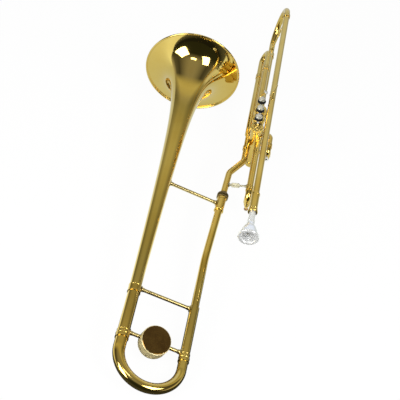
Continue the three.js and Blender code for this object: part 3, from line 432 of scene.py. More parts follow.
def copyNode(name, node, material, body, ease):
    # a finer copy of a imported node, with its edges eased
    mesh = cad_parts[node].data.copy()
    mesh.name = name
    work = bmesh.new()
    work.from_mesh(mesh)
    bmesh.ops.remove_doubles(work, verts=work.verts[:], dist=0.02 * metre)
    bmesh.ops.dissolve_limit(work, angle_limit=math.radians(1), verts=work.verts[:],
                             edges=work.edges[:])
    sharp = 40
    bmesh.ops.bevel(work, geom=[edge for edge in work.edges if isSharp(edge, sharp)],
                    offset=ease * metre, segments=2, profile=0.5, affect="EDGES",
                    clamp_overlap=True)
    return addPiece(name, mesh, work, material, body, node, sharp)


# bell section: the long bell, the neck and their braces
section = {"spacing": 112, "neckY": 50.5, "neckZ": 68.5, "tilt": 18.5, "lean": -3.1,
           "bendX": -368, "bend": 600}
bellTubes = {
    "mouthX": -588, "bellLeg": (10.5, 9.7), "neckLeg": (8.5, 7.75), "neckLegX": -480,
    "neck": (7.15, 6.45), "neckBackX": -503, "neckFrontX": -228, "ringWall": 0.8,
    "ringLength": 8.6,
}
neckLine = (Matrix.Translation((0, section["neckY"], section["neckZ"]))
            @ Matrix.Rotation(math.radians(section["tilt"]), 4, "X"))
bellLine = alongX(section["spacing"], 0, neckLine)


def neckPoint(x):
    # on the leaning part of the neck, seen from neckLine
    return Vector((x, math.tan(math.radians(section["lean"])) * (x - section["bendX"]), 0))


neckFrontX = bellTubes["neckFrontX"]
leaningLine = (neckLine @ Matrix.Translation(neckPoint(neckFrontX))
               @ Matrix.Rotation(math.radians(section["lean"]), 4, "Z")
               @ Matrix.Translation((-neckFrontX, 0, 0)))

bell = {
    "rimX": 112, "rimRadius": 100.8, "wall": 0.9, "flare": 13.6, "power": 0.595,
    "stemX": -492, "bead": 1.9, "stations": 110, "crowding": 2.6, "sides": 128,
}


def bellRadius(distance):
    return bell["rimRadius"] * ((distance + bell["flare"]) / bell["flare"]) ** -bell["power"]


def bellShape():
    rimX, bead = bell["rimX"], bell["bead"]
    beadRadius = bell["rimRadius"] - bead
    outside, inside = [], []
    for i in range(bell["stations"] + 1):
        distance = (rimX - bell["stemX"]) * (i / bell["stations"]) ** bell["crowding"]
        radius = bellRadius(distance)
        slope = bell["power"] * radius / (distance + bell["flare"])
        step = bell["wall"] / math.hypot(1, slope)
        if radius < beadRadius - bead:
            outside.append((radius, rimX - distance))
            inside.append((radius - step, rimX - distance + step * slope))
    rim = []
    for i in range(25):  # the rim is rolled back over a wire
        angle = math.radians(110 - 12.5 * i)
        rim.append((beadRadius + bead * math.cos(angle), rimX - bead + bead * math.sin(angle)))
    return turnedShape(rim + outside + inside[::-1], bellLine, bell["sides"])


def ferruleShape(start, end, radius, wall, placing):
    # ring with a raised bead at each end, as turned on a lathe
    inner, outer = radius + gap, radius + gap + wall
    rise, width, slant = 0.3, 1.3, 0.35
    outline = [(inner, start), (inner, end), (outer + rise, end), (outer + rise, end - width),
               (outer, end - width - slant), (outer, start + width + slant),
               (outer + rise, start + width), (outer + rise, start)]
    return turnedShape(outline, placing, 56, (0.28, 2))


mouthX = bellTubes["mouthX"]
stemEnd = bell["stemX"] - gap
stemRing = 7.5  # half its length
stemRadius = bellRadius(bell["rimX"] - bell["stemX"] - stemRing)
neckPath = bentPath([(bellTubes["neckBackX"], 0, 0), neckPoint(section["bendX"]),
                     neckPoint(neckFrontX)], section["bend"], 10)
makePiece("bell_spun", bellShape(), "bell", spunBrass)
makePiece("bell_leg_tube", tubeShape(mouthX, stemEnd, *bellTubes["bellLeg"], bellLine),
          "bell_slide_leg")
makePiece("stem_ferrule_ring",
          ferruleShape(stemEnd - stemRing, stemEnd + stemRing, stemRadius, 0.7, bellLine),
          "bell_stem_ferrule")
makePiece("neck_pipe", sweptShape(neckPath, *bellTubes["neck"], 44, neckLine), "neck_tube")
makePiece("neck_leg_tube",
          tubeShape(mouthX, bellTubes["neckLegX"], *bellTubes["neckLeg"], neckLine),
          "neck_slide_leg")

joint = {"backX": -241, "frontX": -205.5, "radius": 9.2, "tenon": 6.7, "nutRadius": 11,
         "nutLength": 13, "nutSides": 189}


def receiverShape():
    back, front, r = joint["backX"], joint["frontX"], joint["radius"]
    split, bore = neckFrontX + gap, bellTubes["neck"][0] + gap
    outline = [(r - 0.5, back), (r + 0.2, back + 0.9), (r + 0.2, back + 2.4),
               (r - 0.35, back + 3.2), (r - 0.35, front - 6), (r, front - 5), (r, front),
               (joint["tenon"], front), (joint["tenon"], split), (bore, split), (bore, back)]
    return turnedShape(outline, leaningLine, 56, (0.3, 2))


nutStart = joint["frontX"] + gap


def nutShape():
    start, r = nutStart, joint["nutRadius"]
    end = start + joint["nutLength"]
    outline = [(r - 1, start), (r, start + 1), (r, start + 3), (r - 1.3, start + 3.4),
               (r - 1.3, start + 5.3), (r, start + 5.7), (r, end - 3.2), (r - 1.6, end - 1.2),
               (r - 1.9, end), (joint["tenon"], end), (joint["tenon"], start)]
    return turnedShape(outline, leaningLine, joint["nutSides"],
                       wave=knurlWave(r - 0.15, 0.22, 0.1))


def grooveShape():
    # painted shade: a dark band laid in the groove between the nut's two lands
    start, r = nutStart + 3.5, joint["nutRadius"] - 1.1
    outline = [(r - 0.5, start), (r, start + 0.3), (r, start + 1.4), (r - 0.5, start + 1.7)]
    return turnedShape(outline, leaningLine, 64, (0.15, 2))


makePiece("neck_receiver_sleeve", receiverShape(), "neck_receiver")
makePiece("lock_nut_knurled", nutShape(), "lock_nut", grippedBrass, sharp=50)
# painted shade in the nut's groove, in the black knob material
makePiece("lock_nut_groove", grooveShape(), None, blackKnob)

brace = {"rod": 3.3, "foot": 6.4, "upperX": -222, "lowerX": -486}
weight = {"x": -580, "radius": 26, "thickness": 26, "turn": -13.7}


def braceShapes(start, end, fromRadius, toRadius, sizes, placing=still, hasBeads=False):
    # turned rod that flares at both ends into feet wrapped round two tubes along X
    rod, foot = sizes["rod"], sizes["foot"]
    start, end = Vector(start), Vector(end)
    a, b = fromRadius + gap, (end - start).length - toRadius - gap
    half = [(foot * 0.66, 0.5), (foot * 0.6, 1.6), (rod * 1.25, 3.4), (rod, 5.6)]
    outline = [(0, a + 0.2)] + [(r, a + along) for r, along in half]
    if hasBeads:
        middle, swell, waist = (a + b) / 2, rod * 1.3, rod * 1.06
        beads = [(rod, 3.6), (swell, 3), (swell, 2), (waist, 1.6), (waist, 1.2),
                 (swell * 1.12, 0.7)]
        outline += [(r, middle - along) for r, along in beads]
        outline += [(r, middle + along) for r, along in beads[::-1]]
    outline += [(r, b - along) for r, along in half[::-1]] + [(0, b - 0.2)]
    axis = (end - start).normalized()
    shapes = [turnedShape(outline, placing @ alongLine(start, end), 40, (0.5, 3))]
    for point, facing, radius in ((start, axis, fromRadius), (end, -axis, toRadius)):
        wrap = min(foot / radius, 1.1)
        shapes.append(saddleShape(point, facing, radius, foot * 2, wrap, 0.9, placing))
    return shapes


for name, x, neckRadius, bellSide in (
        ("upper", brace["upperX"], joint["radius"], bellRadius(bell["rimX"] - brace["upperX"])),
        ("lower", brace["lowerX"], bellTubes["neckLeg"][0], stemRadius + gap + 0.8),
        ("weight", weight["x"], bellTubes["neckLeg"][0], bellTubes["bellLeg"][0])):
    start = neckPoint(x) if x > section["bendX"] else (x, 0, 0)
    shapes = braceShapes(start, (x, section["spacing"], 0), neckRadius, bellSide, brace, neckLine)
    makePiece(f"{name}_brace_turned", shapes, f"{name}_brace", drawnRod)


def weightShapes():
    half, r = weight["thickness"] / 2, weight["radius"]
    placing = (neckLine @ Matrix.Translation((weight["x"], section["spacing"] / 2, 0))
               @ Matrix.Rotation(math.radians(weight["turn"]), 4, "Y")
               @ Matrix.Rotation(-math.pi / 2, 4, "Y"))
    side = [(0, half - 1.2), (r - 0.9, half - 1.2), (r, half - 1.8), (r, 1.2), (r - 0.45, 0.7),
            (r - 0.45, -0.7), (r, -1.2), (r, -half + 1.8), (r - 0.9, -half + 1.2),
            (0, -half + 1.2)]
    face = [(0, -half), (r - 1.9, -half), (r - 1.1, -half + 0.7), (r - 1.1, -half + 1.3),
            (0, -half + 1.3)]
    faces = [turnedShape(face, placing @ turn, 96, (0.3, 3))
             for turn in (still, Matrix.Rotation(math.pi, 4, "Y"))]
    return turnedShape(side, placing, 96, (0.5, 3)), faces


weightSide, weightFaces = weightShapes()
# painted highlight: the side's pale gold stands for the light it catches
makePiece("counterweight_disc", weightSide, "counterweight_shell", paintedLitBrass)
# painted dark reflection: the faces' brown stands for the dark room they mirror
makePiece("counterweight_faces", weightFaces, None, paintedDarkFace)
copyNode("counterweight_lead", "counterweight_core", castLead, "frame", ease=0.3)
print("bell section made")

# tuning slide
tuning = {"bowX": -612.5, "legEndX": -509, "legWall": 0.7, "overlap": 8}
bowStart = mouthX - gap
halfSpacing = section["spacing"] / 2
reachX = tuning["bowX"] - halfSpacing
bowPath = bentPath([(bowStart, section["spacing"], 0), (reachX, section["spacing"], 0),
                    (reachX, 0, 0), (bowStart, 0, 0)], halfSpacing, 40)
bellLeg, neckLeg = bellTubes["bellLeg"], bellTubes["neckLeg"]


def taperFrom(a, b):
    return lambda share: a + (b - a) * min(max((share - 0.1) / 0.8, 0), 1)


shapes = [sweptShape(bowPath, taperFrom(bellLeg[0], neckLeg[0]), taperFrom(bellLeg[1], neckLeg[1]),
                     56, neckLine)]
for leg, line in ((bellLeg, bellLine), (neckLeg, neckLine)):
    outer = leg[1] - gap
    shapes.append(tubeShape(bowStart - tuning["overlap"], tuning["legEndX"], outer,
                            outer - tuning["legWall"], line))
makePiece("tuning_slide_bow", shapes, "tuning_slide", body="tuning_slide")
for side, leg, line in (("bell", bellLeg, bellLine), ("neck", neckLeg, neckLine)):
    ring = ferruleShape(bowStart - bellTubes["ringLength"], bowStart, leg[0],
                        bellTubes["ringWall"], line)
    makePiece(f"tuning_ring_{side}", ring, f"slide_ferrule_{side}", body="tuning_slide")
    # the fixed leg ends in its own ring, which the bow's ring meets
    makePiece(f"leg_end_ring_{side}",
              ferruleShape(bowStart + gap, bowStart + 7.5, leg[0] - gap, 0.6, line))
print("tuning slide made")

# valves
valve = {
    "spacing": 27, "radius": 12.2, "bore": 9.6, "baseZ": 3.3, "topZ": 104, "windZ": 62,
    "capRadius": 13.3, "capPlate": 3, "capSkirt": 7.2, "boss": 6.6, "bossHeight": 2.4,
    "travel": 16,
}
button = {"radius": 7.0, "rise": 2.2, "thick": 4.0, "dish": 0.8, "felt": 8.6, "feltThick": 2.6,
          "stem": 2.42}
spring = {"radius": 7.4, "wire": 0.6, "low": 3.9, "high": 32.1, "curls": 6, "perCurl": 28}
valveX = {1: -valve["spacing"], 2: 0, 3: valve["spacing"]}
capBore = valve["radius"] + 0.15
capKnurl = {"sides": 216, "ease": (0.2, 2),
            "wave": knurlWave(valve["capRadius"] - 0.05, 0.22, 0.11)}
capTop = valve["topZ"] + gap + valve["capPlate"] + valve["bossHeight"]
feltZ = capTop + valve["travel"] + gap
buttonZ = feltZ + button["feltThick"] + gap


def casingShape(x):
    r, bore, low, top = valve["radius"], valve["bore"], valve["baseZ"], valve["topZ"]
    outline = [(r, low), (r, 11.2), (r + 0.35, 11.6), (r + 0.35, 13.6), (r - 0.2, 14.2),
               (r - 0.2, 93.5), (r + 0.35, 94.1), (r + 0.35, 96), (r, 96.4), (r, top),
               (bore, top), (bore, low)]
    return turnedShape(outline, alongZ(x), 72, (0.25, 2))


def bottomCapShape(x):
    r, plate = valve["capRadius"], valve["capPlate"]
    rise = plate + valve["capSkirt"]
    outline = [(0, 0.0), (r - 1.4, 0.0), (r - 0.3, 1.1), (r, 1.9), (r, 6.2), (r - 0.35, 6.7),
               (r - 0.35, rise), (capBore, rise), (capBore, plate), (0, plate)]
    return turnedShape(outline, alongZ(x), **capKnurl)


def topCapShape(x):
    r, boss = valve["capRadius"], valve["boss"]
    plate = valve["topZ"] + gap
    top = plate + valve["capPlate"]
    low = plate - valve["capSkirt"]
    peak = top + valve["bossHeight"]
    outline = [(capBore, low), (r - 0.35, low), (r - 0.35, low + 2.4), (r, low + 2.9),
               (r, top - 1.7), (r - 0.5, top - 0.6), (r - 1.6, top), (boss + 1.3, top),
               (boss + 0.4, top + 0.5), (boss - 0.4, peak), (2.8, peak), (2.8, plate),
               (capBore, plate)]
    return turnedShape(outline, alongZ(x), **capKnurl)


def buttonShape(x):
    r, disc = button["radius"], buttonZ + button["rise"]
    top = disc + button["thick"]
    seat, socket = top - button["dish"], buttonZ + 4.5
    outline = [(4, buttonZ), (3.7, buttonZ + 1.2), (4.4, disc), (r - 0.6, disc + 0.4),
               (r, disc + 1.3), (r, top - 0.9), (r - 0.4, top - 0.1), (r - 0.9, top),
               (r - 1, seat), (0, seat), (0, socket), (2.7, socket), (2.7, buttonZ)]
    return turnedShape(outline, alongZ(x), 56, (0.35, 3))


def pearlShape(x):
    # thin plate with a low dome
    seat = buttonZ + button["rise"] + button["thick"] - button["dish"] + gap
    wide, plate, dome, steps = button["radius"] - 1.3, 0.35, 0.85, 11
    outline = [(0, seat), (wide, seat), (wide, seat + plate)]
    for i in range(1, steps):
        angle = i / steps * math.pi / 2
        outline.append((wide * math.cos(angle), seat + plate + dome * math.sin(angle)))
    outline.append((0, seat + 1.2))
    return turnedShape(outline, alongZ(x))


def feltShape(x):
    # the washer's rim is a little uneven, as a punched felt is
    low, high, wide, hole = feltZ, feltZ + button["feltThick"], button["felt"], 2.75
    outline = [(wide, low), (wide, high), (hole, high), (hole, low)]
    return turnedShape(outline, alongZ(x), ease=(0.8, 4),
                       wave=lambda k, along, radius: 0.1 * math.sin(k * 5.1 + along * 3))


def springShape(x):
    low, high, radius = spring["low"], spring["high"], spring["radius"]
    count = spring["curls"] * spring["perCurl"]
    path = []
    for i in range(count + 1):
        share = i / count
        turn = 2 * math.pi * spring["curls"] * share
        path.append(Vector((x + radius * math.cos(turn), radius * math.sin(turn),
                            low + (high - low) * share)))
    return sweptShape(path, spring["wire"], 0.02, 12)


for n, x in valveX.items():
    body = f"valve_{n}"
    makePiece(f"bottom_cap_knurled_{n}", bottomCapShape(x), f"bottom_cap_{n}", sharp=50)
    makePiece(f"top_cap_knurled_{n}", topCapShape(x), f"top_cap_{n}", sharp=50)
    copyNode(f"piston_body_{n}", f"piston_{n}", buffedNickel, body, ease=0.15)
    stem = rodShape(99, buttonZ + 4.2, button["stem"], alongZ(x), 36)
    makePiece(f"piston_stem_{n}", stem, None, buffedNickel, body)
    makePiece(f"felt_washer_{n}", feltShape(x), f"felt_{n}", blackFelt, body, sharp=70)
    makePiece(f"button_rim_{n}", buttonShape(x), f"button_{n}", buffedNickel, body)
    makePiece(f"pearl_dome_{n}", pearlShape(x), f"pearl_{n}", pearlShell, body)
    coil = makePiece(f"valve_spring_{n}", springShape(x), f"spring_{n}", drawnWire)
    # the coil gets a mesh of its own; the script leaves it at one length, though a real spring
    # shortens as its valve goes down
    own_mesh(coil)
print("valves made")

# valve tubing. The legs of a slide are at these (y, z), and its bow turns on the side of "way"
valveTubes = {"outer": 6.5, "inner": 5.8, "leg": (5.45, 4.15), "knuckle": (6.35, 5.65),
              "ringWall": 0.75, "ringLength": 6}
first = {"legs": ((-7, 46), (-7, 78)), "sleeveX": -178, "legX": -70, "bowX": -182, "way": -1,
         "disc": (lacqueredBrass, "lacquered_brass")}
second = {"legs": ((-29.5, 38.5), (-29.5, 61.5)), "sleeveX": -30, "legX": -10, "bowX": -36,
          "way": -1, "elbow": 8, "ring": 4.5, "disc": (platedSilver, "nickel_silver")}
third = {"legs": ((4, 89), (16, 62)), "startX": -10.2, "sleeveX": 182, "legX": 70, "bowX": 231,
         "way": 1}
lead = {"y": -20, "z": 155, "radius": 6.25, "bore": 5.55, "backX": -286, "frontX": 292,
        "bowX": 298, "returnX": 266}
back = {"radius": 6.7, "bore": 6.0, "startX": 44}
goose = {"radius": 6.4, "bore": 5.7, "y": 14, "stubX": -10.8, "backX": -50, "bendX": -88,
         "elbowX": -131, "tenonX": -226, "bend": 22}
outer, inner = valveTubes["outer"], valveTubes["inner"]
windLine = alongX(0, valve["windZ"])
stubLine = alongX(goose["y"], valve["windZ"])
leadLine = alongX(lead["y"], lead["z"])


def collarShape(x, radius, placing, way=1):
    # fillet of solder and a turned collar where a tube enters a casing
    profile = [(-0.4, 0), (2.4, 0), (1.3, 0.8), (0.9, 2.0), (0.9, 4.2), (0.2, 4.7), (-0.4, 4.7)]
    outline = [(radius + rise, x + way * along) for rise, along in profile]
    return turnedShape(outline, placing, 44, (0.3, 2))


def tubeRing(x, length, line):
    start, end = sorted((x, x + length))
    return ferruleShape(start, end, outer - gap, valveTubes["ringWall"], line)


def wallAt(y):
    # how far the casing's wall stands off its axis, along X
    return math.sqrt(valve["radius"] ** 2 - y ** 2)


def firstCasing():
    # two sleeves for the slide, and the stub towards the neck
    wall = valveX[1] - wallAt(first["legs"][0][0])
    shapes = [casingShape(valveX[1])]
    for leg in first["legs"]:
        line = alongX(*leg)
        shapes += [tubeShape(first["sleeveX"], wall + 3, outer, inner, line),
                   tubeRing(first["sleeveX"], valveTubes["ringLength"], line),
                   collarShape(wall + 0.6, outer, line, -1)]
    stubX = goose["stubX"]
    return shapes + [rodShape(stubX - 6, stubX, goose["radius"], stubLine, 44, 1.2),
                     tubeShape(goose["backX"], stubX - 5, goose["radius"], goose["bore"], stubLine)]


def secondCasing():
    # two elbows for the slide
    shapes = [casingShape(valveX[2])]
    for y, z in second["legs"]:
        path = bentPath([(0, -8, z), (0, y, z), (second["sleeveX"], y, z)], second["elbow"], 14)
        placing = Matrix.Translation((0, 0, z)) @ Matrix.Rotation(-math.pi / 2, 4, "Z")
        shapes += [sweptShape(path, outer, inner, 44),
                   collarShape(valve["radius"] - 0.6, outer, placing),
                   tubeRing(second["sleeveX"], second["ring"], alongX(y, z))]
    return shapes


def thirdCasing():
    # two sleeves for the slide, and the tube towards the return
    x, inside = valveX[3], valveX[3] + 9
    near, far = third["legs"]
    shapes = [casingShape(x)]
    for leg, startX in ((near, inside), (far, third["startX"])):
        line = alongX(*leg)
        shapes += [tubeShape(startX + 1, third["sleeveX"], outer, inner, line),
                   tubeRing(third["sleeveX"], -valveTubes["ringLength"], line)]
    return shapes + [
        collarShape(x + wallAt(near[0]) - 0.6, outer, alongX(*near)),
        rodShape(third["startX"], third["startX"] + 6, outer, alongX(*far), 44, 1.2),
        tubeShape(inside, back["startX"] - gap, *valveTubes["knuckle"], windLine),
        collarShape(x + valve["radius"] - 0.6, valveTubes["knuckle"][0], windLine)]


makePiece("casing_with_tubes_1", firstCasing(), "casing_1")
makePiece("casing_with_elbows_2", secondCasing(), "casing_2")
for side, x in (("back", -valve["spacing"] / 2), ("front", valve["spacing"] / 2)):
    # short tube between two casings
    makePiece(f"knuckle_{side}", tubeShape(x - 3.6, x + 3.6, *valveTubes["knuckle"], windLine))
makePiece("casing_with_tubes_3", thirdCasing(), "casing_3")


def slideShapes(slide):
    # a slide's tubes, and how far its bow reaches
    legs, way = slide["legs"], slide["way"]
    startX = slide["sleeveX"] + way * gap
    spread = math.dist(*legs)
    reach = slide["bowX"] + way * spread / 2
    path = bentPath([(startX, *legs[0]), (reach, *legs[0]), (reach, *legs[1]),
                     (startX, *legs[1])], spread / 2, 22)
    shapes = [sweptShape(path, outer, valveTubes["leg"][1], 44)]
    for leg in legs:
        line = alongX(*leg)
        start, end = sorted((slide["legX"], startX + way * 5))
        shapes += [tubeShape(start, end, *valveTubes["leg"], line, 36),
                   tubeRing(startX, way * valveTubes["ringLength"], line)]
    return shapes, reach + way * outer


def pullDiscShape(placing):
    # shallow dished disc on a neck
    outline = [(0, -0.6), (3.2, -0.6), (2.4, 0.6), (2.2, 3.6), (3.4, 4.1), (4.4, 4.3), (4.8, 4.9),
               (4.7, 5.6), (3.9, 6.0), (2.9, 5.9), (2.2, 5.4), (2.2, 4.8), (0, 4.8)]
    return turnedShape(outline, placing, 48, (0.3, 3))


def pullDotShape(placing):
    return turnedShape([(0, 4.3), (2.1, 4.3), (2.1, 5.1), (0, 5.1)], placing, 32, (0.3, 2))


def knobShape(placing):
    ball, middle, steps = 2.7, 3.7, 12
    outline = [(0, -0.6), (2.1, -0.6), (1.5, 0.5), (1.2, 1.2)]
    for i in range(steps):
        angle = math.radians(-62 + 152 * i / steps)
        outline.append((max(ball * math.cos(angle), 0), middle + ball * math.sin(angle)))
    return turnedShape(outline + [(0, middle + ball)], placing, 36)


for n, (name, slide) in enumerate((("first", first), ("second", second), ("third", third)), 1):
    body = f"{name}_slide"
    shapes, endX = slideShapes(slide)
    middle = [(a + b) / 2 for a, b in zip(*slide["legs"])]
    makePiece(f"{body}_tubes", shapes, f"slide_{n}", body=body)
    if "disc" in slide:
        material, slot = slide["disc"]
        placing = alongLine((endX, *middle), (endX - 1, *middle))
        makePiece(f"{body}_disc", pullDiscShape(placing), None, material, body)
        makePiece(f"{body}_dot", pullDotShape(placing), None, blackKnob, body)
    else:
        placing = alongX(*middle) @ Matrix.Translation((endX, 0, 0))
        makePiece(f"{body}_knob", knobShape(placing), None, blackKnob, body)

# gooseneck, from the first valve across to the neck joint
gooseX, halfRing = goose["backX"] - gap, 4.3
goosePath = bentPath([(gooseX, goose["y"], valve["windZ"]),
                      (goose["bendX"], goose["y"], valve["windZ"]),
                      neckLine @ neckPoint(goose["elbowX"]),
                      neckLine @ neckPoint(goose["tenonX"])], goose["bend"], 14)
makePiece("gooseneck_pipe", sweptShape(goosePath, goose["radius"], goose["bore"], 44), "gooseneck")
makePiece("gooseneck_ring",
          ferruleShape(gooseX - halfRing, gooseX + halfRing, goose["radius"], 0.8, stubLine),
          "gooseneck_ferrule")

# leadpipe, the bow at its far end and the tube back to the third valve
leadPoint, windPoint = (lead["y"], lead["z"]), (0, valve["windZ"])
halfSpread = math.dist(leadPoint, windPoint) / 2
bowReach = lead["bowX"] + halfSpread
topPath = bentPath([(lead["frontX"] + gap, *leadPoint), (bowReach, *leadPoint),
                    (bowReach, *windPoint), (lead["returnX"], *windPoint)], halfSpread, 34)
makePiece("lead_pipe",
          tubeShape(lead["backX"], lead["frontX"], lead["radius"], lead["bore"], leadLine),
          "leadpipe")
makePiece("top_bow_pipe", sweptShape(topPath, lead["radius"], lead["bore"], 48), "top_bow")
makePiece("return_pipe",
          tubeShape(back["startX"], lead["returnX"] - gap, back["radius"], back["bore"], windLine),
          "return_tube")
for name, start, end, radius, line in (
        ("lead", lead["frontX"] - halfRing, lead["frontX"] + halfRing, lead["radius"], leadLine),
        ("return", lead["returnX"] - 8.6, lead["returnX"] + halfRing, back["radius"], windLine)):
    makePiece(f"bow_ring_{name}", ferruleShape(start, end, radius, 0.8, line),
              f"bow_ferrule_{name}")
makePiece("return_ring_valve",
          ferruleShape(back["startX"], back["startX"] + 7, back["radius"] - gap, 0.7, windLine))

receiver = {"mouthX": -312, "length": 48, "radius": 7.9, "bore": 6.6, "bead": 9.2}


def receiverSocket():
    m, r, b, bore = receiver["mouthX"], receiver["radius"], receiver["bead"], receiver["bore"]
    end = m + receiver["length"]
    outline = [(bore, m), (b - 0.6, m), (b, m + 0.8), (b, m + 3.6), (b - 0.7, m + 4.4),
               (r - 0.2, m + 5.2), (r - 0.2, m + 8), (r + 0.35, m + 8.6), (r + 0.35, m + 9.8),
               (r - 0.2, m + 10.4), (r - 0.2, end - 5), (r + 0.3, end - 4.4), (r + 0.3, end - 1),
               (r - 0.3, end), (bore, end)]
    return turnedShape(outline, leadLine, 56, (0.3, 2))


makePiece("receiver_socket", receiverSocket(), "mouthpiece_receiver")

mouth = {"rimX": -374, "length": 84, "rim": 19.6, "cup": 12.7, "cupDepth": 25, "throat": 3.3}


def smoothLine(points, perSpan=8):
    # rounded curve through points, for a turned profile
    full = [points[0], *points, points[-1]]
    line = []
    for i in range(1, len(full) - 2):
        p0, p1, p2, p3 = (Vector(p) for p in full[i - 1 : i + 3])
        for k in range(perSpan):
            s = k / perSpan
            line.append(tuple(0.5 * ((2 * p1) + (p2 - p0) * s
                                     + (2 * p0 - 5 * p1 + 4 * p2 - p3) * s * s
                                     + (3 * p1 - p0 - 3 * p2 + p3) * s ** 3)))
    line.append(points[-1])
    return line


def mouthpieceShape():
    cup, throat, depth, length = mouth["cup"], mouth["throat"], mouth["cupDepth"], mouth["length"]
    lip, steps = 2.6, 16
    rim = [(cup + 0.2, 2.0), (cup + 0.9, 0.8), (cup + 2.0, 0.15), (16.2, 0.0), (18.0, 0.25),
           (19.2, 1.1), (mouth["rim"], 2.5), (19.4, 3.9), (18.5, 4.9), (17.2, 5.4)]
    body = [(16.3, 6.0), (16.0, 8.5), (15.2, 13), (13.4, 19), (10.4, 25.5), (7.8, 30),
            (6.7, 33.5), (6.5, 37.2)]
    shank = [(7.3, 37.8), (7.5, 38.8), (7.5, 40.2), (7.3, 41), (6.3, 41.4), (6.1, 42.5),
             (5.35, length - 0.4), (5.1, length), (4.6, length)]
    inside = [(throat, depth + 6)]
    for i in range(steps + 1):
        angle = math.pi / 2 * i / steps
        inside.append((throat + (cup - throat) * math.sin(angle),
                       lip + (depth - lip) * math.cos(angle)))
    profile = smoothLine(rim) + smoothLine(body) + shank + inside
    return turnedShape([(r, mouth["rimX"] + along) for r, along in profile], leadLine, 80)


makePiece("mouthpiece_cup", mouthpieceShape(), "mouthpiece", platedSilver, "mouthpiece")
print("tubes and mouthpiece made")

# struts
struts = {"rod": 1.9, "foot": 4.5, "topX": 283, "leadY": -16.2, "padY": -13.9, "padZ": 91.5}
makePiece("top_strut_turned",
          braceShapes((struts["topX"], *windPoint), (struts["topX"], *leadPoint), lead["radius"],
                      lead["radius"], struts, hasBeads=True), "top_strut")
for n in (1, 3):
    x, padZ = valveX[n], struts["padZ"]
    headZ = lead["z"] - lead["radius"] - gap
    rod = [(0, 88.5), (1.6, 88.5), (2.1, 89.5), (1.9, 92), (1.9, 118), (2.6, 119), (2.9, 120),
           (2.6, 121), (1.9, 122), (1.9, headZ - 4.5), (2.4, headZ - 2.8), (3.3, headZ - 1),
           (3.3, headZ - 0.3), (0, headZ + 0.1)]
    shapes = [turnedShape(rod, alongZ(x, struts["leadY"]), 36, (0.5, 3)),
              saddleShape((x, *leadPoint), (0, 0.46, -0.89), lead["radius"], 9, 0.7, 0.9),
              blockShape((6, 2.4, 10), Matrix.Translation((x, struts["padY"], padZ)), 1.0),
              saddleShape((x, 0, padZ), (0, -1, 0), valve["radius"], 12, 0.36, 1.0,
                          axis=(0, 0, 1))]
    makePiece(f"lead_strut_turned_{n}", shapes, f"lead_strut_{n}", drawnRod)

hand = {"x": -165, "sleeveX": -172, "share": 0.4, "leaf": (9.0, 16, 2.4)}
handFrom = neckLine @ neckPoint(hand["x"])
handTo = Vector((hand["sleeveX"], *first["legs"][1]))
handAxis = (handTo - handFrom).normalized()
leafPlace = (Matrix.Translation(handFrom + (handTo - handFrom) * hand["share"])
             @ Vector((0, 1, 0)).rotation_difference(handAxis).to_matrix().to_4x4())
makePiece("hand_brace_turned", braceShapes(handFrom, handTo, goose["radius"], outer, struts),
          "hand_brace", satinNickel)
makePiece("hand_brace_leaf", blockShape(hand["leaf"], leafPlace, 1.1), None, satinNickel)

# hook for the little finger, a bent rod on a pad that is wrapped over the leadpipe
hook = {"footX": 4, "riseX": 8, "topX": 30, "topZ": 173, "lean": 5, "reach": 7, "drop": 5,
        "rod": 1.7, "bend": 3.5}
hookY = lead["y"] - hook["lean"]
hookPath = bentPath([(hook["footX"], lead["y"], lead["z"] + lead["radius"]),
                     (hook["riseX"], lead["y"], hook["topZ"]),
                     (hook["topX"], hookY, hook["topZ"]),
                     (hook["topX"] + hook["reach"], hookY, hook["topZ"] - hook["drop"])],
                    hook["bend"], 10)


def hookRadius(share):
    # swells at its foot and rounds off at its tip
    foot = 1.0 * max(0, 1 - share / 0.12)
    tip = math.sqrt(max(1 - max(0, (share - 0.97) / 0.03) ** 2, 0.02))
    return (hook["rod"] + foot) * tip


makePiece("finger_hook_rod",
          [sweptShape(hookPath, hookRadius, 0.02, 32),
           saddleShape((hook["footX"], *leadPoint), (0, 0, 1), lead["radius"], 12, 0.5, 2.0)],
          "finger_hook")

# holder for a music lyre, on the third valve's upper sleeve
lyre = {"x": 80, "y": -4, "z": 108, "footRise": 5.8}
lyreFoot = Vector((lyre["x"], *third["legs"][0])) + Vector((0, 0, lyre["footRise"]))
lyreHead = Vector((lyre["x"], lyre["y"], lyre["z"]))
lyreLine = alongLine(lyreFoot, lyreHead)
rise = (lyreHead - lyreFoot).length
post = [(0, 0), (3.2, 0.4), (2.2, 2.2), (1.8, 3.4), (1.8, rise + 0.5), (0, rise + 0.5)]
head = [(0, rise), (3.9, rise), (4.6, rise + 0.8), (4.6, rise + 2.2), (3.9, rise + 3.0),
        (2.6, rise + 2.6), (0, rise + 2.6)]
makePiece("lyre_post", turnedShape(post, lyreLine, 32, (0.4, 3)))
makePiece("lyre_screw_head",
          turnedShape(head, lyreLine, 90, (0.3, 3), wave=knurlWave(4.5, 0.16, 0.08)), None,
          buffedNickel, sharp=50)

# water key on the first slide
copyNode("water_key_lever", "water_key", buffedNickel, "water_key", ease=0.35)
copyNode("water_key_stopper", "water_key_cork", corkPad, "water_key", ease=0.2)
copyNode("water_key_hinge_pin", "water_key_pin", buffedNickel, "first_slide", ease=0.15)

key = {"nippleX": -192, "mouthZ": 38, "pivotX": -181.5, "armZ": 34.3, "radius": 3.4, "bore": 1.6,
       "ear": (5, 1.4, 8.4), "earY": 3.0}


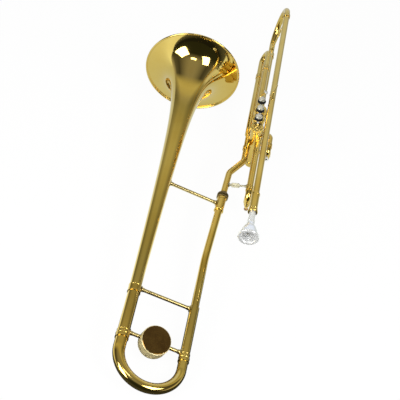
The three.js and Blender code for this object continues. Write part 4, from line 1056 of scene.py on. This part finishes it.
def waterKeySeat():
    # short chimney under the bow, wider where the solder holds it, and two ears for the hinge
    low, r, bore, y = key["mouthZ"], key["radius"], key["bore"], first["legs"][0][0]
    outline = [(bore, low), (r - 0.5, low), (r - 0.3, low + 1.2), (r + 0.2, low + 3.6),
               (r + 0.9, low + 5.2), (bore, low + 5.2)]
    shapes = [turnedShape(outline, alongZ(key["nippleX"], y), 36, (0.3, 2))]
    for side in (-key["earY"], key["earY"]):
        spot = Matrix.Translation((key["pivotX"], y + side, key["armZ"] + 1.7))
        shapes.append(blockShape(key["ear"], spot, 0.6))
    return shapes


makePiece("water_key_seat", waterKeySeat(), body="first_slide")
print("struts and water key made")

# floor, room and lamps
# the floor leans so that it meets the bottom caps, the bell's rim and the end bow, as a table would
ground = {"points": [(112, 156.71, 3.2), (-672, 59, 58), (-30, -13, 0)], "below": 0.2, "half": 6000}


def addFloor():
    a, b, c = (Vector(point) for point in ground["points"])
    normal = (b - a).cross(c - a).normalized()
    if normal.z < 0:
        normal.negate()
    low = min(normal.dot(v.co / metre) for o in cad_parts.values() for v in o.data.vertices)
    level, half = low - ground["below"], ground["half"]
    turn = normal.to_track_quat("Z", "Y").to_matrix().to_4x4()
    corners = [tuple((turn @ Vector((x * half, y * half, 0)) + normal * level) * metre)
               for x, y in ((-1, -1), (1, -1), (1, 1), (-1, 1))]
    mesh = bpy.data.meshes.new("floor")
    mesh.from_pydata(corners, [], [[0, 1, 2, 3]])
    mesh.materials.append(paperFloor())
    floor = addObject("floor", mesh)


# painted reflection: how bright the brass sees the paper, a brightness painted on it as a glow
# that only mirrored rays see, not light from the lamps. It is white beside the instrument and
# greyer ahead, and a painted dark wedge opens behind, where the camera stands: its tip lies at
# "tip" metres along X, and its sides run back by "slope" and "skew" for each metre across. Stops
# go from -"span" to "span" metres, and those of the wedge from 1 m inside it to 1 m outside.
paper = {
    "along": [(0.36, 1.15), (0.46, 0.95), (0.54, 0.75), (0.8, 0.66)],
    "across": [(0.2, 0.74), (0.52, 1.0)],
    "span": 1.5,
    "tip": -0.3,
    "slope": 0.75,
    "skew": 0.2,
    "wedge": [(0.2, 0.015), (0.35, 0.05), (0.48, 0.1), (0.5, 1.0)],
    "camera": 0.96,
    "tint": (0.98, 1.05, 1.1),
}
# settings of colour mixes
mixed = {"data_type": "RGBA"}
multiplied = {"data_type": "RGBA", "blend_type": "MULTIPLY", 0: 1.0}


def shades(stops):
    # brightness as a slightly warm grey
    return [(at, (bright, bright, bright * 0.97)) for at, bright in stops]


def paperFloor():
    material, tree, place = newMaterial("white_paper_sweep")
    tooth = addNode(tree, "TexNoise", {"Scale": 300, "Detail": 3}, Vector=place)
    colour = addNode(tree, "ValToRGB", {"stops": hexStops((0.3, "#F4F4F4"), (0.7, "#FAFAFA"))},
                     Fac=tooth)
    sheet = addNode(tree, "BsdfDiffuse", Color=colour)
    white = addNode(tree, "Emission", {"Color": (1, 1, 1, 1), "Strength": 1.0})
    split = addNode(tree, "SeparateXYZ", Vector=place)
    x, y = split.outputs["X"], split.outputs["Y"]
    across = addNode(tree, "Math", {"operation": "ABSOLUTE"}, i0=y)
    slanted = addNode(tree, "Math", {"operation": "MULTIPLY_ADD", 1: paper["slope"]},
                      i0=across, i2=x)
    skewed = addNode(tree, "Math", {"operation": "MULTIPLY_ADD", 1: paper["skew"]},
                     i0=y, i2=slanted)
    paintedGlow = None
    for value, middle, reach, stops in ((x, 0, paper["span"], paper["along"]),
                                        (y, 0, paper["span"], paper["across"]),
                                        (skewed, paper["tip"], 1, paper["wedge"])):
        ends = {"From Min": middle - reach, "From Max": middle + reach}
        share = addNode(tree, "MapRange", ends, Value=value)
        bright = addNode(tree, "ValToRGB", {"stops": shades(stops)}, Fac=share)
        paintedGlow = addNode(tree, "Mix", multiplied, i6=paintedGlow, i7=bright).outputs[2] if paintedGlow else bright
    tinted = addNode(tree, "Mix", {**multiplied, 7: (*paper["tint"], 1)}, i6=paintedGlow)
    # painted reflection: mirrored rays see this painted brightness as a glow, not the lit paper
    mirrored = addNode(tree, "Emission", {"Strength": 1.0}, Color=tinted.outputs[2])
    rays = addNode(tree, "LightPath")
    share = addNode(tree, "Math", {"operation": "MULTIPLY", 1: paper["camera"]},
                    i0=rays.outputs["Is Camera Ray"])
    lifted = addNode(tree, "MixShader", Fac=share, i1=sheet, i2=white)
    glossy = addNode(tree, "Math", {"operation": "MAXIMUM"}, i0=rays.outputs["Is Glossy Ray"],
                     i1=rays.outputs["Is Transmission Ray"])
    mix = addNode(tree, "MixShader", Fac=glossy, i1=lifted, i2=mirrored)
    addNode(tree, "OutputMaterial", Surface=mix)
    return material


addFloor()

# a dim room, as the brass mirrors it. Across the instrument it is pale low down, nearly black
# above that and grey overhead, and "arch" brings these bands down as X squared grows. Ahead it is
# a warm grey that changes along X, and "low" dulls it near the horizon where X is "dullest".
# "narrow" weighs the distance from there against height, and the dulling goes from the first to
# the last value of "lift". Behind the camera it is a greenish black.
room = {
    "across": [(0.02, 0.8), (0.12, 0.5), (0.3, 0.12), (0.55, 0.07), (0.8, 0.22), (0.97, 0.34)],
    "arch": 0.4,
    "ahead": [(0.3, (0.42, 0.4, 0.26)), (0.5, (0.64, 0.62, 0.42)), (0.555, (0.56, 0.54, 0.38)),
              (0.585, (0.42, 0.41, 0.34)), (0.615, (0.35, 0.34, 0.24)),
              (0.65, (0.44, 0.43, 0.28)), (0.67, (0.57, 0.56, 0.39)), (0.71, (0.78, 0.76, 0.62)),
              (0.77, (0.7, 0.76, 0.9)), (0.82, (0.74, 0.83, 1.05))],
    "low": [(0.0, 0.5), (0.31, 0.52), (0.62, 0.66), (0.88, 0.9), (0.96, 1.0)],
    "dullest": 0.62,
    "narrow": 2.2,
    "lift": (-0.03, 0.77),
    "behind": (0.026, 0.03, 0.02),
}


def addWorld(setup):
    world = bpy.data.worlds.new("studio")
    scene.world = world
    world.use_nodes = True
    tree = world.node_tree
    tree.nodes.clear()
    way = addNode(tree, "TexCoord").outputs["Generated"]
    split = addNode(tree, "SeparateXYZ", Vector=way)
    x, rise = split.outputs["X"], split.outputs["Z"]
    square = addNode(tree, "Math", {"operation": "MULTIPLY"}, i0=x, i1=x)
    height = addNode(tree, "Math", {"operation": "MULTIPLY_ADD", 1: setup["arch"]},
                     i0=square, i2=rise)
    sides = addNode(tree, "ValToRGB", {"stops": shades(setup["across"])}, Fac=height)
    offset = addNode(tree, "Math", {"operation": "SUBTRACT", 1: setup["dullest"]}, i0=x)
    away = addNode(tree, "Math", {"operation": "ABSOLUTE"}, i0=offset)
    steep = addNode(tree, "Math", {"operation": "MULTIPLY_ADD", 1: setup["narrow"]},
                    i0=away, i2=rise)
    lift = addNode(tree, "MapRange", dict(zip(("From Min", "From Max"), setup["lift"])),
                   Value=steep)
    warm = addNode(tree, "ValToRGB", {"stops": setup["ahead"]}, Fac=x)
    dull = addNode(tree, "ValToRGB", {"stops": shades(setup["low"])}, Fac=lift)
    front = addNode(tree, "Mix", multiplied, i6=warm, i7=dull).outputs[2]
    isAhead = addNode(tree, "ValToRGB", {"stops": shades([(0.3, 0.0), (0.45, 1.0)])}, Fac=x)
    wide = addNode(tree, "Mix", mixed, i0=isAhead, i6=sides, i7=front).outputs[2]
    back = addNode(tree, "Math", {"operation": "MULTIPLY", 1: -1.0}, i0=x)
    isBehind = addNode(tree, "ValToRGB", {"stops": shades([(0.45, 0.0), (0.75, 1.0)])}, Fac=back)
    shade = addNode(tree, "Mix", {**mixed, 7: (*setup["behind"], 1)}, i0=isBehind,
                    i6=wide).outputs[2]
    rays = addNode(tree, "LightPath")
    seen = addNode(tree, "Mix", {**mixed, 7: (1, 1, 1, 1)}, i0=rays.outputs["Is Camera Ray"],
                   i6=shade).outputs[2]
    light = addNode(tree, "Background", {"Strength": 1.0}, Color=seen)
    addNode(tree, "OutputWorld", Surface=light)


addWorld(room)

# three soft boxes behind the camera, the left one largest: the bell mirrors each as a white patch.
# "way" goes from the bell's middle to the box, and "along" is its first side; metres and watts
lamps = {
    "left_box": {"way": (-0.66, 0.485, 0.452), "along": (0.24, -0.05, 0.46),
                 "size": (1.25, 1.08), "watts": 40},
    "right_box": {"way": (-0.533, -0.564, 0.552), "along": (0.39, -0.26, 0.127),
                  "size": (1.17, 0.84), "watts": 30},
    "top_box": {"way": (-0.469, 0.016, 0.883), "along": (0.0, 1.0, 0.0),
                "size": (0.75, 0.28), "watts": 4},
}
lampDistance = 2.4
bellMiddle = Vector((70, 157, 110)) * metre


def addLamp(name, setup):
    data = bpy.data.lights.new(name, "AREA")
    data.shape = "RECTANGLE"
    data.energy = setup["watts"]
    data.size, data.size_y = setup["size"]
    way = Vector(setup["way"]).normalized()
    along = Vector(setup["along"])
    along = (along - way * along.dot(way)).normalized()
    spot = bellMiddle + way * lampDistance
    addObject(name, data).matrix_world = placeAt(spot, along, way.cross(along), way)


for name, setup in lamps.items():
    addLamp(name, setup)
print("studio made")
